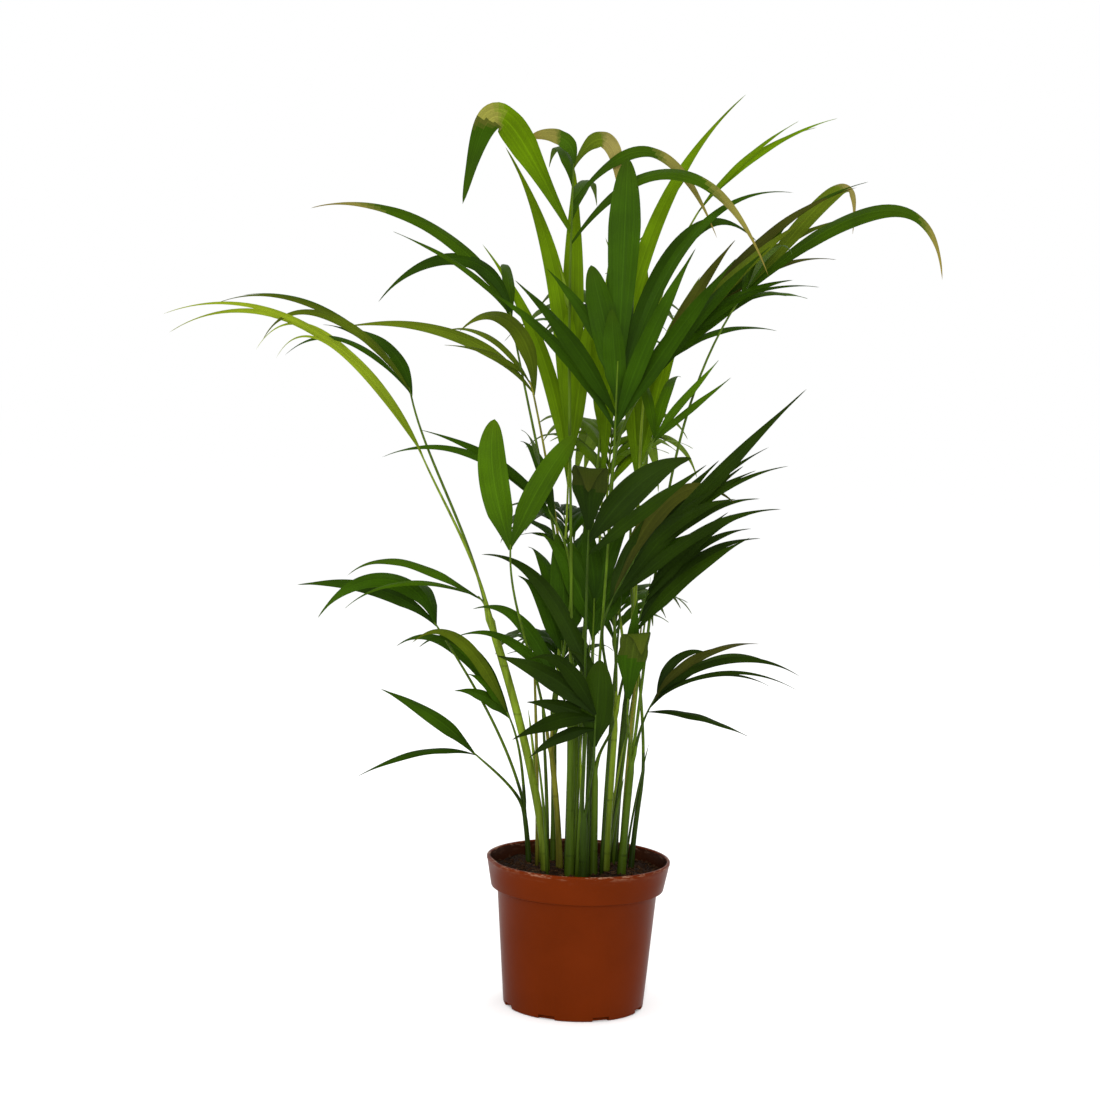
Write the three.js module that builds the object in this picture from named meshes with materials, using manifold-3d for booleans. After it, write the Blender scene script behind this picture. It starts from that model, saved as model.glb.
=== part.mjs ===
// Potted areca palm: a clump of canes in a nursery pot, with a crown of arching fronds.
// Millimetres, +Z up, origin at the centre of the pot's flat underside.
// Headings are degrees in plan: 0 is right (+X), 90 is back (+Y), 180 is left, 270 is front.
import * as THREE from "three";
import { mergeVertices } from "three/addons/utils/BufferGeometryUtils.js";
import Module from "manifold-3d";

// Driving dimensions
const potHeight = 137;
const rimRadius = 85;
const rimBand = 31; // height of the thicker band under the rim
const rimTaper = 3.5; // how much the band narrows to its lower edge
const bandStep = 7.5; // how far the band stands out from the body
const baseRadius = 65;
const potWall = 2;
const drainCount = 8; // notches in the foot's edge
const drainWide = 16;
const drainDeep = 5;
const drainTall = 4;
const soilTop = 124;
const soilEdge = 1.5;
const gap = 0.3; // clearance between neighbouring solids
const petioleFoot = 3; // thickness of a frond's stalk at its cane
const petioleNeck = 2.4; // and where its leaflets start
const ribTip = 1.4;
const splay = 30; // how far leaflets leave their frond's plane, in degrees
const splayReach = 110; // longer ones less
const leafThickness = 0.0108; // of its length
const leastLeafThickness = 1.1;
const slimmest = 0.08; // edges shorter than this are merged where leaflets join
const roundSides = 36;

const wasm = await Module();
wasm.setup();

// Canes: foot in plan, top, width at the foot and at the top
const canes = {
  cane_bright: { foot: [-30, -6], top: [-88, 2, 352], wide: [7.5, 8] },
  cane_left: { foot: [-46, 30], top: [-53, 30, 180], wide: [5, 4.5] },
  cane_slim: { foot: [-23, 36], top: [-27, 42, 262], wide: [5.5, 5] },
  cane_split: { foot: [-17, 8], top: [-29, -4, 240], wide: [6, 5] },
  cane_front: { foot: [-8, -30], top: [-13, -38, 298], wide: [8, 6] },
  cane_near: { foot: [4, -44], top: [3, -52, 190], wide: [7.5, 6.5] },
  cane_tall: { foot: [-4, 12], top: [-8, 14, 290], wide: [8, 6.5] },
  cane_stout: { foot: [11, 30], top: [7, 34, 300], wide: [9, 7.5] },
  cane_back: { foot: [-8, 54], top: [-6, 62, 250], wide: [8, 6.5] },
  cane_middle: { foot: [14, -16], top: [12, -18, 228], wide: [7, 6] },
  cane_right: { foot: [25, 4], top: [29, 6, 272], wide: [8.5, 8] },
  cane_far: { foot: [34, 44], top: [42, 52, 290], wide: [7.5, 6.5] },
  cane_dark: { foot: [40, -12], top: [46, -14, 236], wide: [7.5, 6.5] },
  cane_edge: { foot: [50, 16], top: [58, 20, 214], wide: [5, 4.5] },
};

// One leaflet: where it starts as a share of the rib, its heading, how far its tip reaches
// out and rises, the slopes of its root and tip, and its width. It may also say how far its
// upper face turns from up to the frond's outlook, how much fuller than a plain arc it
// bends, and how blunt its tip is.
function leaf(at, heading, reach, rise, lift, end, wide, { turn = 60, arm = 1, blunt = 0 } = {}) {
  return { at, heading, reach, rise, lift, end, wide, turn, arm, blunt };
}

// Fronds: the cane, the neck where the leaflets start, and the rib beyond it as
// its heading, lift, bend and length.
const fronds = {
  tall: {
    cane: "cane_front", neck: [-27, -60, 696], rib: [270, 88, 3, 70],
    leaves: [
      leaf(0, 345, 170, -28, 56, -68, 13, { arm: 1.4 }),
      leaf(0.15, 188, 94, 15, 58, -80, 27, { turn: 75, arm: 2.6, blunt: 0.3 }),
      leaf(0.5, 12, 129, -28, 54, -66, 12, { arm: 1.55 }),
      leaf(1, 186, 40, 20, 94, -24, 15, { turn: 70, arm: 1.1, blunt: 0.5 }),
      leaf(0.97, 0, 40, -16, 66, -90, 15, { turn: 90, arm: 1.9, blunt: 0.6 }),
    ],
  },
  fan: {
    cane: "cane_middle", neck: [17, -90, 535], rib: [270, 84, 4, 60],
    leaves: [
      leaf(0, 188, 120, 120, 62, 28, 15),
      leaf(0.2, 195, 93, 110, 60, 38, 22),
      leaf(0.85, 190, 66, 88, 62, 42, 15),
      leaf(0.55, 200, 28, 108, 80, 74, 25, { turn: 80, blunt: 0.7 }),
      leaf(0.4, 240, 14, 80, 86, 84, 20, { turn: 80, blunt: 0.5 }),
      leaf(0.05, 355, 104, 152, 60, 50, 21),
      leaf(0, 350, 62, 156, 76, 62, 20),
      leaf(0.1, 5, 125, 165, 82, -42, 22, { turn: 70 }),
      leaf(0.3, 15, 150, 190, 76, -6, 12, { turn: 70 }),
      leaf(0.5, 284, 8, 204, 86, 88, 31, { turn: 80, blunt: 0.8 }),
    ],
  },
  right: {
    cane: "cane_dark", neck: [128, 0, 655], rib: [0, 58, 5, 12],
    leaves: [
      leaf(0.3, 352, 168, 16, 46, -85, 17, { turn: 55, arm: 1.3 }),
      leaf(0.6, 6, 107, 62, 50, -95, 16, { arm: 1.5 }),
      leaf(1, 350, 46, 68, 66, 16, 13, { turn: 75 }),
      leaf(0.1, 0, 66, 4, 22, -12, 6, { turn: 40 }),
    ],
  },
  right_dark: {
    cane: "cane_right", neck: [42, 20, 566], rib: [0, 57, 4, 95],
    leaves: [
      leaf(0, 350, 108, 134, 60, 42, 20),
      leaf(0.3, 10, 72, 125, 70, 50, 18),
      leaf(0.6, 352, 107, 112, 56, 32, 20),
      leaf(1, 6, 75, 48, 48, 18, 12),
      leaf(0.75, 0, 113, 42, 46, -8, 6),
      leaf(0.25, 4, 118, 45, 52, -10, 8),
    ],
  },
  back_left: {
    cane: "cane_slim", neck: [-21, 82, 478], rib: [90, 86, 4, 60],
    leaves: [
      leaf(0, 178, 91, 228, 84, 50, 15, { turn: 70 }),
      leaf(0.25, 174, 70, 298, 89, 56, 20, { turn: 70 }),
      leaf(0.6, 150, 5, 262, 89, 88, 22, { turn: 75, blunt: 0.3 }),
    ],
  },
  back_right: {
    cane: "cane_stout", neck: [12, 92, 480], rib: [90, 86, 4, 70],
    leaves: [
      leaf(0, 10, 20, 266, 89, 82, 15, { turn: 75 }),
      leaf(0.25, 8, 74, 282, 87, 52, 20, { turn: 70 }),
      leaf(0.5, 2, 118, 330, 84, 42, 17, { turn: 68 }),
      leaf(0.9, 60, 6, 190, 88, 88, 17, { turn: 75 }),
    ],
  },
  back_tall: {
    cane: "cane_far", neck: [46, 96, 470], rib: [88, 86, 4, 40],
    leaves: [
      leaf(0.2, 120, 4, 226, 90, 86, 20, { turn: 75, blunt: 0.3 }),
      leaf(0.6, 20, 60, 190, 84, 56, 14, { turn: 70 }),
      leaf(0.9, 165, 46, 210, 86, 64, 15, { turn: 70 }),
    ],
  },
  back_thin: {
    cane: "cane_far", neck: [92, 92, 738], rib: [0, 60, 8, 12],
    leaves: [
      leaf(0, 2, 88, 85, 58, 30, 6),
      leaf(0.5, 350, 113, 85, 56, 16, 6),
      leaf(1, 10, 120, 80, 50, 14, 6),
    ],
  },
  arch_left: {
    cane: "cane_back", neck: [-56, 20, 562], rib: [180, 76, 8, 14],
    leaves: [
      leaf(0.2, 186, 178, 54, 52, -12, 12),
      leaf(0, 200, 71, 54, 92, -48, 16, { turn: 70, arm: 1.2 }),
      leaf(0.6, 172, 110, 48, 56, -20, 6),
      leaf(0.9, 190, 78, 30, 52, 0, 5),
    ],
  },
  upper_left: {
    cane: "cane_tall", neck: [-78, 25, 628], rib: [180, 78, 6, 10],
    leaves: [
      leaf(0, 182, 195, 102, 70, -16, 13, { arm: 0.9 }),
      leaf(0.5, 170, 110, 72, 56, 20, 6),
      leaf(0.2, 195, 130, 13, 80, -54, 14, { arm: 1.15 }),
    ],
  },
  far_left: {
    cane: "cane_bright", neck: [-169, 30, 556], rib: [180, 76, 6, 10],
    leaves: [
      leaf(0, 170, 66, 63, 84, 8, 14, { turn: 70 }),
      leaf(0.4, 187, 108, 30, 52, -48, 9, { arm: 1.1 }),
      leaf(0.8, 178, 88, 58, 54, 2, 8),
    ],
  },
  far_bright: {
    cane: "cane_bright", neck: [-152, -15, 498], rib: [180, 64, 4, 14],
    leaves: [
      leaf(0, 182, 230, 110, 66, -34, 12),
      leaf(0.3, 175, 220, 122, 64, -24, 9),
      leaf(0.7, 188, 158, 88, 60, -60, 7),
      leaf(1, 184, 122, 76, 56, -66, 7),
    ],
  },
  mid_left: {
    cane: "cane_split", neck: [-28, -20, 441], rib: [180, 62, 8, 30],
    leaves: [
      leaf(0, 186, 167, 59, 58, -26, 9),
      leaf(0.6, 175, 118, 72, 54, 12, 9),
      leaf(1, 180, 44, 38, 50, 38, 6),
    ],
  },
  front_vee: {
    cane: "cane_split", neck: [-71, -70, 424], rib: [270, 86, 2, 6],
    leaves: [leaf(0.2, 190, 18, 115, 72, 100, 27, { turn: 82, blunt: 0.8 }), leaf(0.6, 350, 54, 101, 70, 52, 22, { turn: 80, blunt: 0.7 })],
  },
  low_left: {
    cane: "cane_left", neck: [-96, 10, 226], rib: [180, 40, 5, 6],
    leaves: [leaf(0.8, 178, 93, 49, 44, 16, 14), leaf(0.3, 186, 104, -10, 24, -26, 8, { turn: 40 })],
  },
  left: {
    cane: "cane_left", neck: [-137, 10, 345], rib: [180, 56, 6, 6],
    leaves: [leaf(0.3, 184, 136, 29, 44, -10, 14), leaf(0.8, 170, 106, 5, 72, -60, 17, { arm: 1.1 })],
  },
  left_ribbon: {
    cane: "cane_bright", neck: [-97, 20, 370], rib: [180, 50, 6, 6],
    leaves: [leaf(0.3, 178, 131, 12, 28, -44, 9, { turn: 50 }), leaf(0.8, 190, 118, -6, 26, -44, 6, { turn: 50 })],
  },
  left_low: {
    cane: "cane_left", neck: [-67, -5, 264], rib: [180, 66, 6, 8],
    leaves: [
      leaf(0.1, 182, 117, 55, 62, -40, 13),
      leaf(0.5, 168, 85, 63, 70, -44, 11),
      leaf(0.8, 196, 60, 62, 64, 22, 9),
      leaf(1, 205, 41, 36, 56, 10, 10),
    ],
  },
  inner_left: {
    cane: "cane_middle", neck: [24, -62, 281], rib: [184, 62, 2, 6],
    leaves: [leaf(0.3, 184, 122, 133, 56, -6, 16, { turn: 66 })],
  },
  inner_low: {
    cane: "cane_split", neck: [-18, -56, 290], rib: [184, 66, 6, 8],
    leaves: [leaf(0.3, 182, 91, 72, 62, -22, 14, { arm: 1.1 }), leaf(0.8, 176, 95, 54, 56, -22, 10)],
  },
  front_low: {
    cane: "cane_near", neck: [9, -90, 252], rib: [270, 80, 6, 34],
    leaves: [
      leaf(1, 190, 88, 46, 46, 10, 23),
      leaf(0.9, 184, 72, -14, 12, -26, 18),
      leaf(0.8, 202, 66, 14, 26, -2, 18),
      leaf(1, 176, 60, 50, 62, -24, 18),
      leaf(0.6, 210, 66, -28, -4, -40, 13),
      leaf(0.1, 290, 6, 78, 86, 88, 29, { turn: 85, blunt: 0.6 }),
    ],
  },
  right_low: {
    cane: "cane_dark", neck: [58, -22, 278], rib: [0, 66, 6, 18],
    leaves: [
      leaf(0, 350, 87, -8, 14, -18, 10, { turn: 40 }),
      leaf(0.2, 4, 112, 38, 50, -26, 13),
      leaf(0.5, 15, 70, 56, 62, 6, 13),
      leaf(0.7, 12, 105, 44, 54, -8, 12),
      leaf(0.9, 356, 122, 32, 50, -30, 8),
      leaf(1, 5, 48, 38, 84, -24, 10),
    ],
  },
  right_fan: {
    cane: "cane_right", neck: [18, -60, 376], rib: [350, 66, 6, 62],
    leaves: [
      leaf(0, 356, 160, 200, 58, 46, 20),
      leaf(0.5, 6, 132, 118, 54, 26, 11),
      leaf(0.6, 0, 132, 100, 50, 12, 11),
      leaf(0.3, 352, 112, 112, 58, 36, 20),
      leaf(0.1, 350, 140, 92, 44, 4, 15),
      leaf(0.2, 344, 110, 84, 74, -40, 23, { turn: 65, arm: 1.1 }),
      leaf(0.9, 352, 68, 66, 56, 40, 12),
      leaf(0.05, 12, 30, 80, 78, 60, 15),
    ],
  },
  centre_fan: {
    cane: "cane_near", neck: [-3, -104, 426], rib: [270, 84, 4, 22],
    leaves: [
      leaf(0.5, 28, 98, 76, 52, 10, 26, { turn: 70, blunt: 0.2 }),
      leaf(1, 266, 32, 34, 84, -76, 33, { turn: 0, arm: 1.7, blunt: 0.6 }),
      leaf(0, 352, 96, 84, 44, 40, 14),
    ],
  },
  middle: {
    cane: "cane_stout", neck: [6, -8, 340], rib: [270, 84, 4, 40],
    leaves: [
      leaf(0, 186, 26, 96, 88, 64, 18, { turn: 75 }),
      leaf(0.35, 10, 26, 104, 84, 62, 19, { turn: 75 }),
      leaf(0.7, 350, 76, 78, 60, 26, 15, { turn: 65 }),
      leaf(1, 200, 12, 78, 90, 84, 17, { turn: 80 }),
    ],
  },
  deep_right: {
    cane: "cane_right", neck: [44, -34, 352], rib: [340, 78, 6, 40],
    leaves: [
      leaf(0, 5, 96, 92, 58, 30, 15, { turn: 65 }),
      leaf(0.5, 355, 110, 66, 52, 0, 13, { turn: 60 }),
      leaf(1, 350, 66, 76, 62, 40, 12, { turn: 62 }),
    ],
  },
  slim_right: {
    cane: "cane_edge", neck: [52, -20, 520], rib: [0, 66, 4, 8],
    leaves: [leaf(0.3, 10, 68, 62, 50, 42, 7), leaf(0.8, 348, 56, 74, 62, 52, 8)],
  },
  centre_left: {
    cane: "cane_tall", neck: [-21, 4, 322], rib: [190, 86, 2, 16],
    leaves: [
      leaf(0.2, 184, 9, 112, 94, 80, 25, { turn: 80, blunt: 0.4 }),
      leaf(1, 20, 24, 104, 80, 84, 17, { turn: 75 }),
    ],
  },
  folded_low: {
    cane: "cane_dark", neck: [38, -64, 290], rib: [285, 84, 4, 6],
    leaves: [
      leaf(0.8, 288, 30, 44, 84, -74, 30, { turn: 0, arm: 1.5, blunt: 0.6 }),
      leaf(0.2, 300, 10, 96, 88, 80, 14, { turn: 80 }),
    ],
  },
};

// Fronds that face away from the front view, with their leaflets in pairs by rule
const paired = {
  rear_top: { cane: "cane_back", neck: [10, 122, 585], rib: [88, 60, 46, 115], pairs: 5, long: 165, wide: 18 },
  rear_high: { cane: "cane_far", neck: [18, 138, 470], rib: [86, 58, 50, 120], pairs: 5, long: 160, wide: 18 },
  rear_wide: { cane: "cane_slim", neck: [-16, 130, 390], rib: [96, 56, 46, 105], pairs: 4, long: 140, wide: 16 },
  rear_right: { cane: "cane_far", neck: [28, 104, 330], rib: [80, 54, 46, 80], pairs: 4, long: 120, wide: 16 },
  rear_left: { cane: "cane_back", neck: [-18, 112, 285], rib: [100, 54, 42, 70], pairs: 4, long: 110, wide: 16 },
};

// Small helpers
const turnOf = THREE.MathUtils.degToRad;

function direction(heading, lift) {
  const level = Math.cos(turnOf(lift));
  return new THREE.Vector3(
    level * Math.cos(turnOf(heading)),
    level * Math.sin(turnOf(heading)),
    Math.sin(turnOf(lift)),
  );
}

function acrossOf(heading) {
  return new THREE.Vector3(-Math.sin(turnOf(heading)), Math.cos(turnOf(heading)), 0);
}

// A rib's path: it starts at a lift and bends down by sag degrees
function ribPath(start, [heading, lift, sag, long], steps) {
  const path = [{ at: start.clone(), along: direction(heading, lift) }];
  for (let i = 1; i <= steps; i++) {
    const at = path[i - 1].at.clone();
    at.addScaledVector(direction(heading, lift - (sag * (i - 0.5)) / steps), long / steps);
    path.push({ at, along: direction(heading, lift - (sag * i) / steps) });
  }
  return path;
}

// A leaflet's path: an arc between the slopes of its root and tip
function leafPath(root, { heading, reach, rise, lift, end, arm, stretch = 1 }, steps) {
  const out = (level, high) => direction(heading, 0).multiplyScalar(level * stretch).setZ(high);
  const slope = (angle) => out(Math.cos(turnOf(angle)), Math.sin(turnOf(angle)));
  const half = Math.max(turnOf(Math.abs(lift - end)) / 2, 0.01);
  const pull = (arm * Math.hypot(reach, rise) * 2 * Math.tan(half / 2)) / Math.sin(half);
  const tip = root.clone().add(out(reach, rise));
  const curve = new THREE.CubicBezierCurve3(
    root.clone(),
    root.clone().addScaledVector(slope(lift), pull / 3),
    tip.clone().addScaledVector(slope(end), -pull / 3),
    tip,
  );
  const path = [];
  for (let i = 0; i <= steps; i++) {
    path.push({ at: curve.getPoint(i / steps), along: curve.getTangent(i / steps) });
  }
  return { path, long: curve.getLength() };
}

// A cylinder or cone is laid along a path: place gives the spot for a path step and a unit offset
function layAlong(shape, steps, place) {
  const spots = shape.attributes.position;
  for (let i = 0; i < spots.count; i++) {
    const step = Math.round((spots.getY(i) + 0.5) * steps);
    const reach = Math.hypot(spots.getX(i), spots.getZ(i));
    const u = reach > 1e-6 ? spots.getX(i) / reach : 0;
    const v = reach > 1e-6 ? spots.getZ(i) / reach : 0;
    const spot = place(step, u, v);
    spots.setXYZ(i, spot.x, spot.y, spot.z);
  }
  return shape;
}

function solidOf(geometry) {
  geometry.deleteAttribute("normal");
  geometry.deleteAttribute("uv");
  const merged = mergeVertices(geometry, 1e-4);
  const solid = new wasm.Manifold(
    new wasm.Mesh({
      numProp: 3,
      vertProperties: new Float32Array(merged.attributes.position.array),
      triVerts: new Uint32Array(merged.index.array),
    }),
  );
  return solid.volume() < 0 ? flipped(merged) : solid;
}

function flipped(merged) {
  const order = new Uint32Array(merged.index.array);
  for (let i = 0; i < order.length; i += 3) [order[i], order[i + 1]] = [order[i + 1], order[i]];
  return new wasm.Manifold(
    new wasm.Mesh({
      numProp: 3,
      vertProperties: new Float32Array(merged.attributes.position.array),
      triVerts: order,
    }),
  );
}

function geometryOf(solid) {
  const mesh = solid.getMesh();
  const geometry = new THREE.BufferGeometry();
  geometry.setAttribute("position", new THREE.BufferAttribute(new Float32Array(mesh.vertProperties), 3));
  geometry.setIndex(new THREE.BufferAttribute(new Uint32Array(mesh.triVerts), 1));
  geometry.computeVertexNormals();
  return geometry;
}

// A tapering round limb along a path
function limb(path, across, thickAt, sides) {
  const steps = path.length - 1;
  const shape = new THREE.CylinderGeometry(1, 1, 1, sides, steps);
  return solidOf(
    layAlong(shape, steps, (step, u, v) => {
      const up = new THREE.Vector3().crossVectors(across, path[step].along).normalize();
      const radius = thickAt(step / steps) / 2;
      return path[step].at.clone().addScaledVector(across, u * radius).addScaledVector(up, v * radius);
    }),
  );
}

// A leaflet's width along its length: narrow root, widest before the middle, and a long
// point or a blunt end
function leafOutline(share, blunt) {
  const pointed = 0.2 + 0.8 * Math.sin(Math.PI * Math.min(1, share * 1.08 + 0.02) ** 0.9);
  const rounded = 0.2 + 0.8 * Math.sin((Math.PI / 2) * Math.min(1, share / 0.62 + 0.04));
  return THREE.MathUtils.lerp(pointed, rounded, blunt) * (1 - share ** (5 + 5 * blunt));
}

function leafSolid(root, spec, outlook, extra = 0) {
  const bend = Math.abs(spec.lift - spec.end);
  const steps = THREE.MathUtils.clamp(Math.round(bend / 32) + 2, 4, 6);
  const { path, long } = leafPath(root, spec, steps);
  const face = new THREE.Vector3(0, 0, Math.cos(turnOf(spec.turn)));
  face.addScaledVector(direction(outlook, 0), Math.sin(turnOf(spec.turn)));
  const thick = Math.max(leastLeafThickness, long * leafThickness) + extra;
  const shape = new THREE.ConeGeometry(1, 1, 3, steps);
  return solidOf(
    layAlong(shape, steps, (step, u, v) => {
      const along = path[step].along;
      const side = new THREE.Vector3().crossVectors(along, face).normalize();
      const down = new THREE.Vector3().crossVectors(along, side).normalize();
      const half = (spec.wide / 2) * leafOutline(step / steps, spec.blunt) + extra / 2;
      const keel = (thick * (v + 0.5)) / 1.5 - thick / 3;
      const tip = step === steps ? 0 : 1;
      return path[step].at.clone()
        .addScaledVector(side, (tip * u * half) / Math.sin(turnOf(60)))
        .addScaledVector(down, tip * keel);
    }),
  );
}

// Seeded numbers, the same on each run
function seeded(seed) {
  let state = seed;
  return () => {
    state = (state * 1664525 + 1013904223) % 4294967296;
    return state / 4294967296;
  };
}

// Leaflets in pairs by rule, swept forward along the rib
function pairedLeaves({ rib, pairs, long, wide }, seed) {
  const chance = seeded(seed);
  const leaves = [];
  for (let i = 0; i < pairs; i++) {
    const at = i / (pairs - 1);
    for (const hand of [-1, 1]) {
      const spread = hand * (46 - 30 * at + 8 * (chance() - 0.5));
      const size = long * (0.76 + 0.3 * Math.sin(Math.PI * (0.2 + 0.75 * at))) * (0.9 + 0.2 * chance());
      const lift = rib[1] - rib[2] * at + 6 + 12 * chance();
      const end = lift - 85 - 35 * chance();
      const middle = turnOf((lift + end) / 2);
      const reach = 0.86 * size * Math.cos(middle);
      leaves.push(leaf(at, rib[0] + spread, reach, 0.86 * size * Math.sin(middle), lift, end, wide, { turn: 0 }));
    }
  }
  return leaves;
}

// A sideways leaflet swings to the front or back and keeps its shape seen from the front
function splayed(spec, swing) {
  const side = Math.cos(turnOf(spec.heading));
  if (Math.abs(side) < 0.85 || spec.reach < 60) return spec;
  const heading = spec.heading + swing * Math.min(1, splayReach / spec.reach);
  return { ...spec, heading, stretch: side / Math.cos(turnOf(heading)) };
}

// Solids that are already in place, each with its box
const placed = [];

function boxOf(solid) {
  const { min, max } = solid.boundingBox();
  return new THREE.Box3(new THREE.Vector3(...min), new THREE.Vector3(...max));
}

function touches(solid, owner) {
  const box = boxOf(solid);
  return placed.some((other) => {
    if (other.owner === owner || !other.box.intersectsBox(box)) return false;
    const shared = other.solid.intersect(solid);
    const meets = !shared.isEmpty();
    shared.delete();
    return meets;
  });
}

function place(owner, solid) {
  placed.push({ owner, solid, box: boxOf(solid) });
}

// Pot: a tapered nursery pot with a thicker band under the rim
const bandFoot = potHeight - rimBand;
const bandRadius = rimRadius - rimTaper;
const bodyTop = bandRadius - bandStep;
const insideWall = [
  [baseRadius - potWall - 2, potWall],
  [baseRadius - potWall, potWall + 1.5],
  [bodyTop - potWall, bandFoot - 1],
  [bandRadius - potWall, bandFoot + potWall + 1.5],
  [rimRadius - potWall - 1, potHeight - 1],
];
const outsideWall = [
  [baseRadius - 3, 0],
  [baseRadius, 1.5],
  [bodyTop, bandFoot],
  [bandRadius - 1, bandFoot],
  [bandRadius, bandFoot + 1.2],
  [rimRadius - 0.4, potHeight - 3.4],
  [rimRadius, potHeight - 2.8],
  [rimRadius, potHeight - 0.6],
  [rimRadius - 0.7, potHeight],
  [rimRadius - potWall - 0.4, potHeight],
];

function turned(profile) {
  const points = profile.map(([r, z]) => new THREE.Vector2(r, z));
  return new THREE.LatheGeometry(points, roundSides).rotateX(Math.PI / 2);
}

function makePot() {
  let pot = solidOf(turned([[0, 0], ...outsideWall, ...insideWall.toReversed(), [0, potWall]]));
  for (let i = 0; i < drainCount; i++) {
    const notch = new THREE.BoxGeometry(drainWide, drainDeep * 2, drainTall * 2);
    notch.translate(0, -baseRadius, 0);
    notch.rotateZ(turnOf((360 / drainCount) * (i + 0.5)));
    pot = pot.subtract(solidOf(notch));
  }
  return pot;
}

// Soil: fills the pot to a little below the rim, clear of its wall and floor
function makeSoil() {
  const loose = insideWall.slice(0, 4).map(([r, z]) => [r - 2 * gap, z + gap]);
  const [lowRadius, low] = insideWall[3];
  const [highRadius, high] = insideWall[4];
  const topRadius = lowRadius + ((highRadius - lowRadius) * (soilTop - low)) / (high - low) - 2 * gap;
  return solidOf(
    turned([
      [0, potWall + gap],
      ...loose,
      [topRadius, soilTop - soilEdge],
      [topRadius - soilEdge, soilTop],
      [0, soilTop],
    ]),
  );
}

function makeCane({ foot, top, wide }) {
  const low = new THREE.Vector3(foot[0], foot[1], soilTop + gap);
  const high = new THREE.Vector3(...top);
  const steps = 4;
  const path = [];
  for (let i = 0; i <= steps; i++) {
    const share = i / steps;
    const at = low.clone().lerp(high, share);
    at.x = low.x + (high.x - low.x) * share ** 1.4;
    at.y = low.y + (high.y - low.y) * share ** 1.4;
    path.push({ at, along: new THREE.Vector3(0, 0, 1) });
  }
  const flare = (share) => 1 + 0.18 * Math.max(0, 1 - share * 4);
  return limb(path, acrossOf(0), (s) => (wide[0] + (wide[1] - wide[0]) * s) * flare(s), 8);
}

// The stalk from a cane's top to the neck and the rib beyond it, as one limb
function stalkPath(foot, frond, bow) {
  const [heading, lift, , long] = frond.rib;
  const neck = new THREE.Vector3(...frond.neck);
  const tall = neck.z - foot.z;
  const curve = new THREE.CubicBezierCurve3(
    foot,
    foot.clone().lerp(neck, 0.2).setZ(foot.z + tall * 0.38).add(bow),
    neck.clone().addScaledVector(direction(heading, lift), -tall * 0.3).add(bow),
    neck,
  );
  const steps = 5;
  const path = [];
  for (let i = 0; i < steps; i++) {
    path.push({ at: curve.getPoint(i / steps), along: curve.getTangent(Math.max(0.001, i / steps)) });
  }
  path[0].along.set(0, 0, 1);
  return [...path, ...ribPath(neck, frond.rib, long > 80 ? 4 : long > 20 ? 2 : 1)];
}

function pointOnRib(frond, share) {
  const steps = 20;
  return ribPath(new THREE.Vector3(...frond.neck), frond.rib, steps)[Math.round(share * steps)].at;
}

const materials = {
  pot: new THREE.MeshStandardMaterial({ color: "#8a3a1c", roughness: 0.45, metalness: 0 }),
  soil: new THREE.MeshStandardMaterial({ color: "#35211a", roughness: 0.95, metalness: 0 }),
  cane: new THREE.MeshStandardMaterial({ color: "#6f9420", roughness: 0.5, metalness: 0 }),
  leaf: new THREE.MeshStandardMaterial({ color: "#3f6b12", roughness: 0.5, metalness: 0 }),
};

const palm = new THREE.Group();

function add(name, solid, material) {
  const mesh = new THREE.Mesh(geometryOf(solid), material);
  mesh.name = name;
  palm.add(mesh);
}

function largest(solid) {
  const bodies = solid.decompose();
  return bodies.reduce((best, body) => (body.volume() > best.volume() ? body : best));
}

add("pot", makePot(), materials.pot);
add("soil", makeSoil(), materials.soil);

for (const [name, cane] of Object.entries(canes)) {
  const solid = makeCane(cane);
  place(name, solid);
  add(name, solid, materials.cane);
}

// Every frond stands on its cane's flat top, spaced round it in the order of their headings
const all = {};
for (const [name, frond] of Object.entries(fronds)) {
  all[name] = { ...frond, leaves: frond.leaves.map((spec, i) => splayed(spec, i % 2 ? splay : -splay)) };
}
Object.entries(paired).forEach(([name, frond], i) => {
  all[name] = { ...frond, leaves: pairedLeaves(frond, 11 + i), outlook: frond.rib[0] };
});

function footOf(name) {
  const { cane } = all[name];
  const { top, wide } = canes[cane];
  const bearing = (n) => Math.atan2(all[n].neck[1] - top[1], all[n].neck[0] - top[0]);
  const sharers = Object.keys(all).filter((n) => all[n].cane === cane);
  sharers.sort((a, b) => bearing(a) - bearing(b));
  const spot = new THREE.Vector3(top[0], top[1], top[2] + gap);
  if (sharers.length === 1) return spot;
  const share = (2 * Math.PI) / sharers.length;
  const pull = new THREE.Vector2();
  sharers.forEach((n, i) => pull.add(new THREE.Vector2(1, 0).rotateAround(new THREE.Vector2(), bearing(n) - share * i)));
  const angle = pull.angle() + share * sharers.indexOf(name);
  const offset = (petioleFoot / 2 + gap) / Math.sin(share / 2);
  return spot.add(new THREE.Vector3(Math.cos(angle) * offset, Math.sin(angle) * offset, 0));
}

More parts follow.
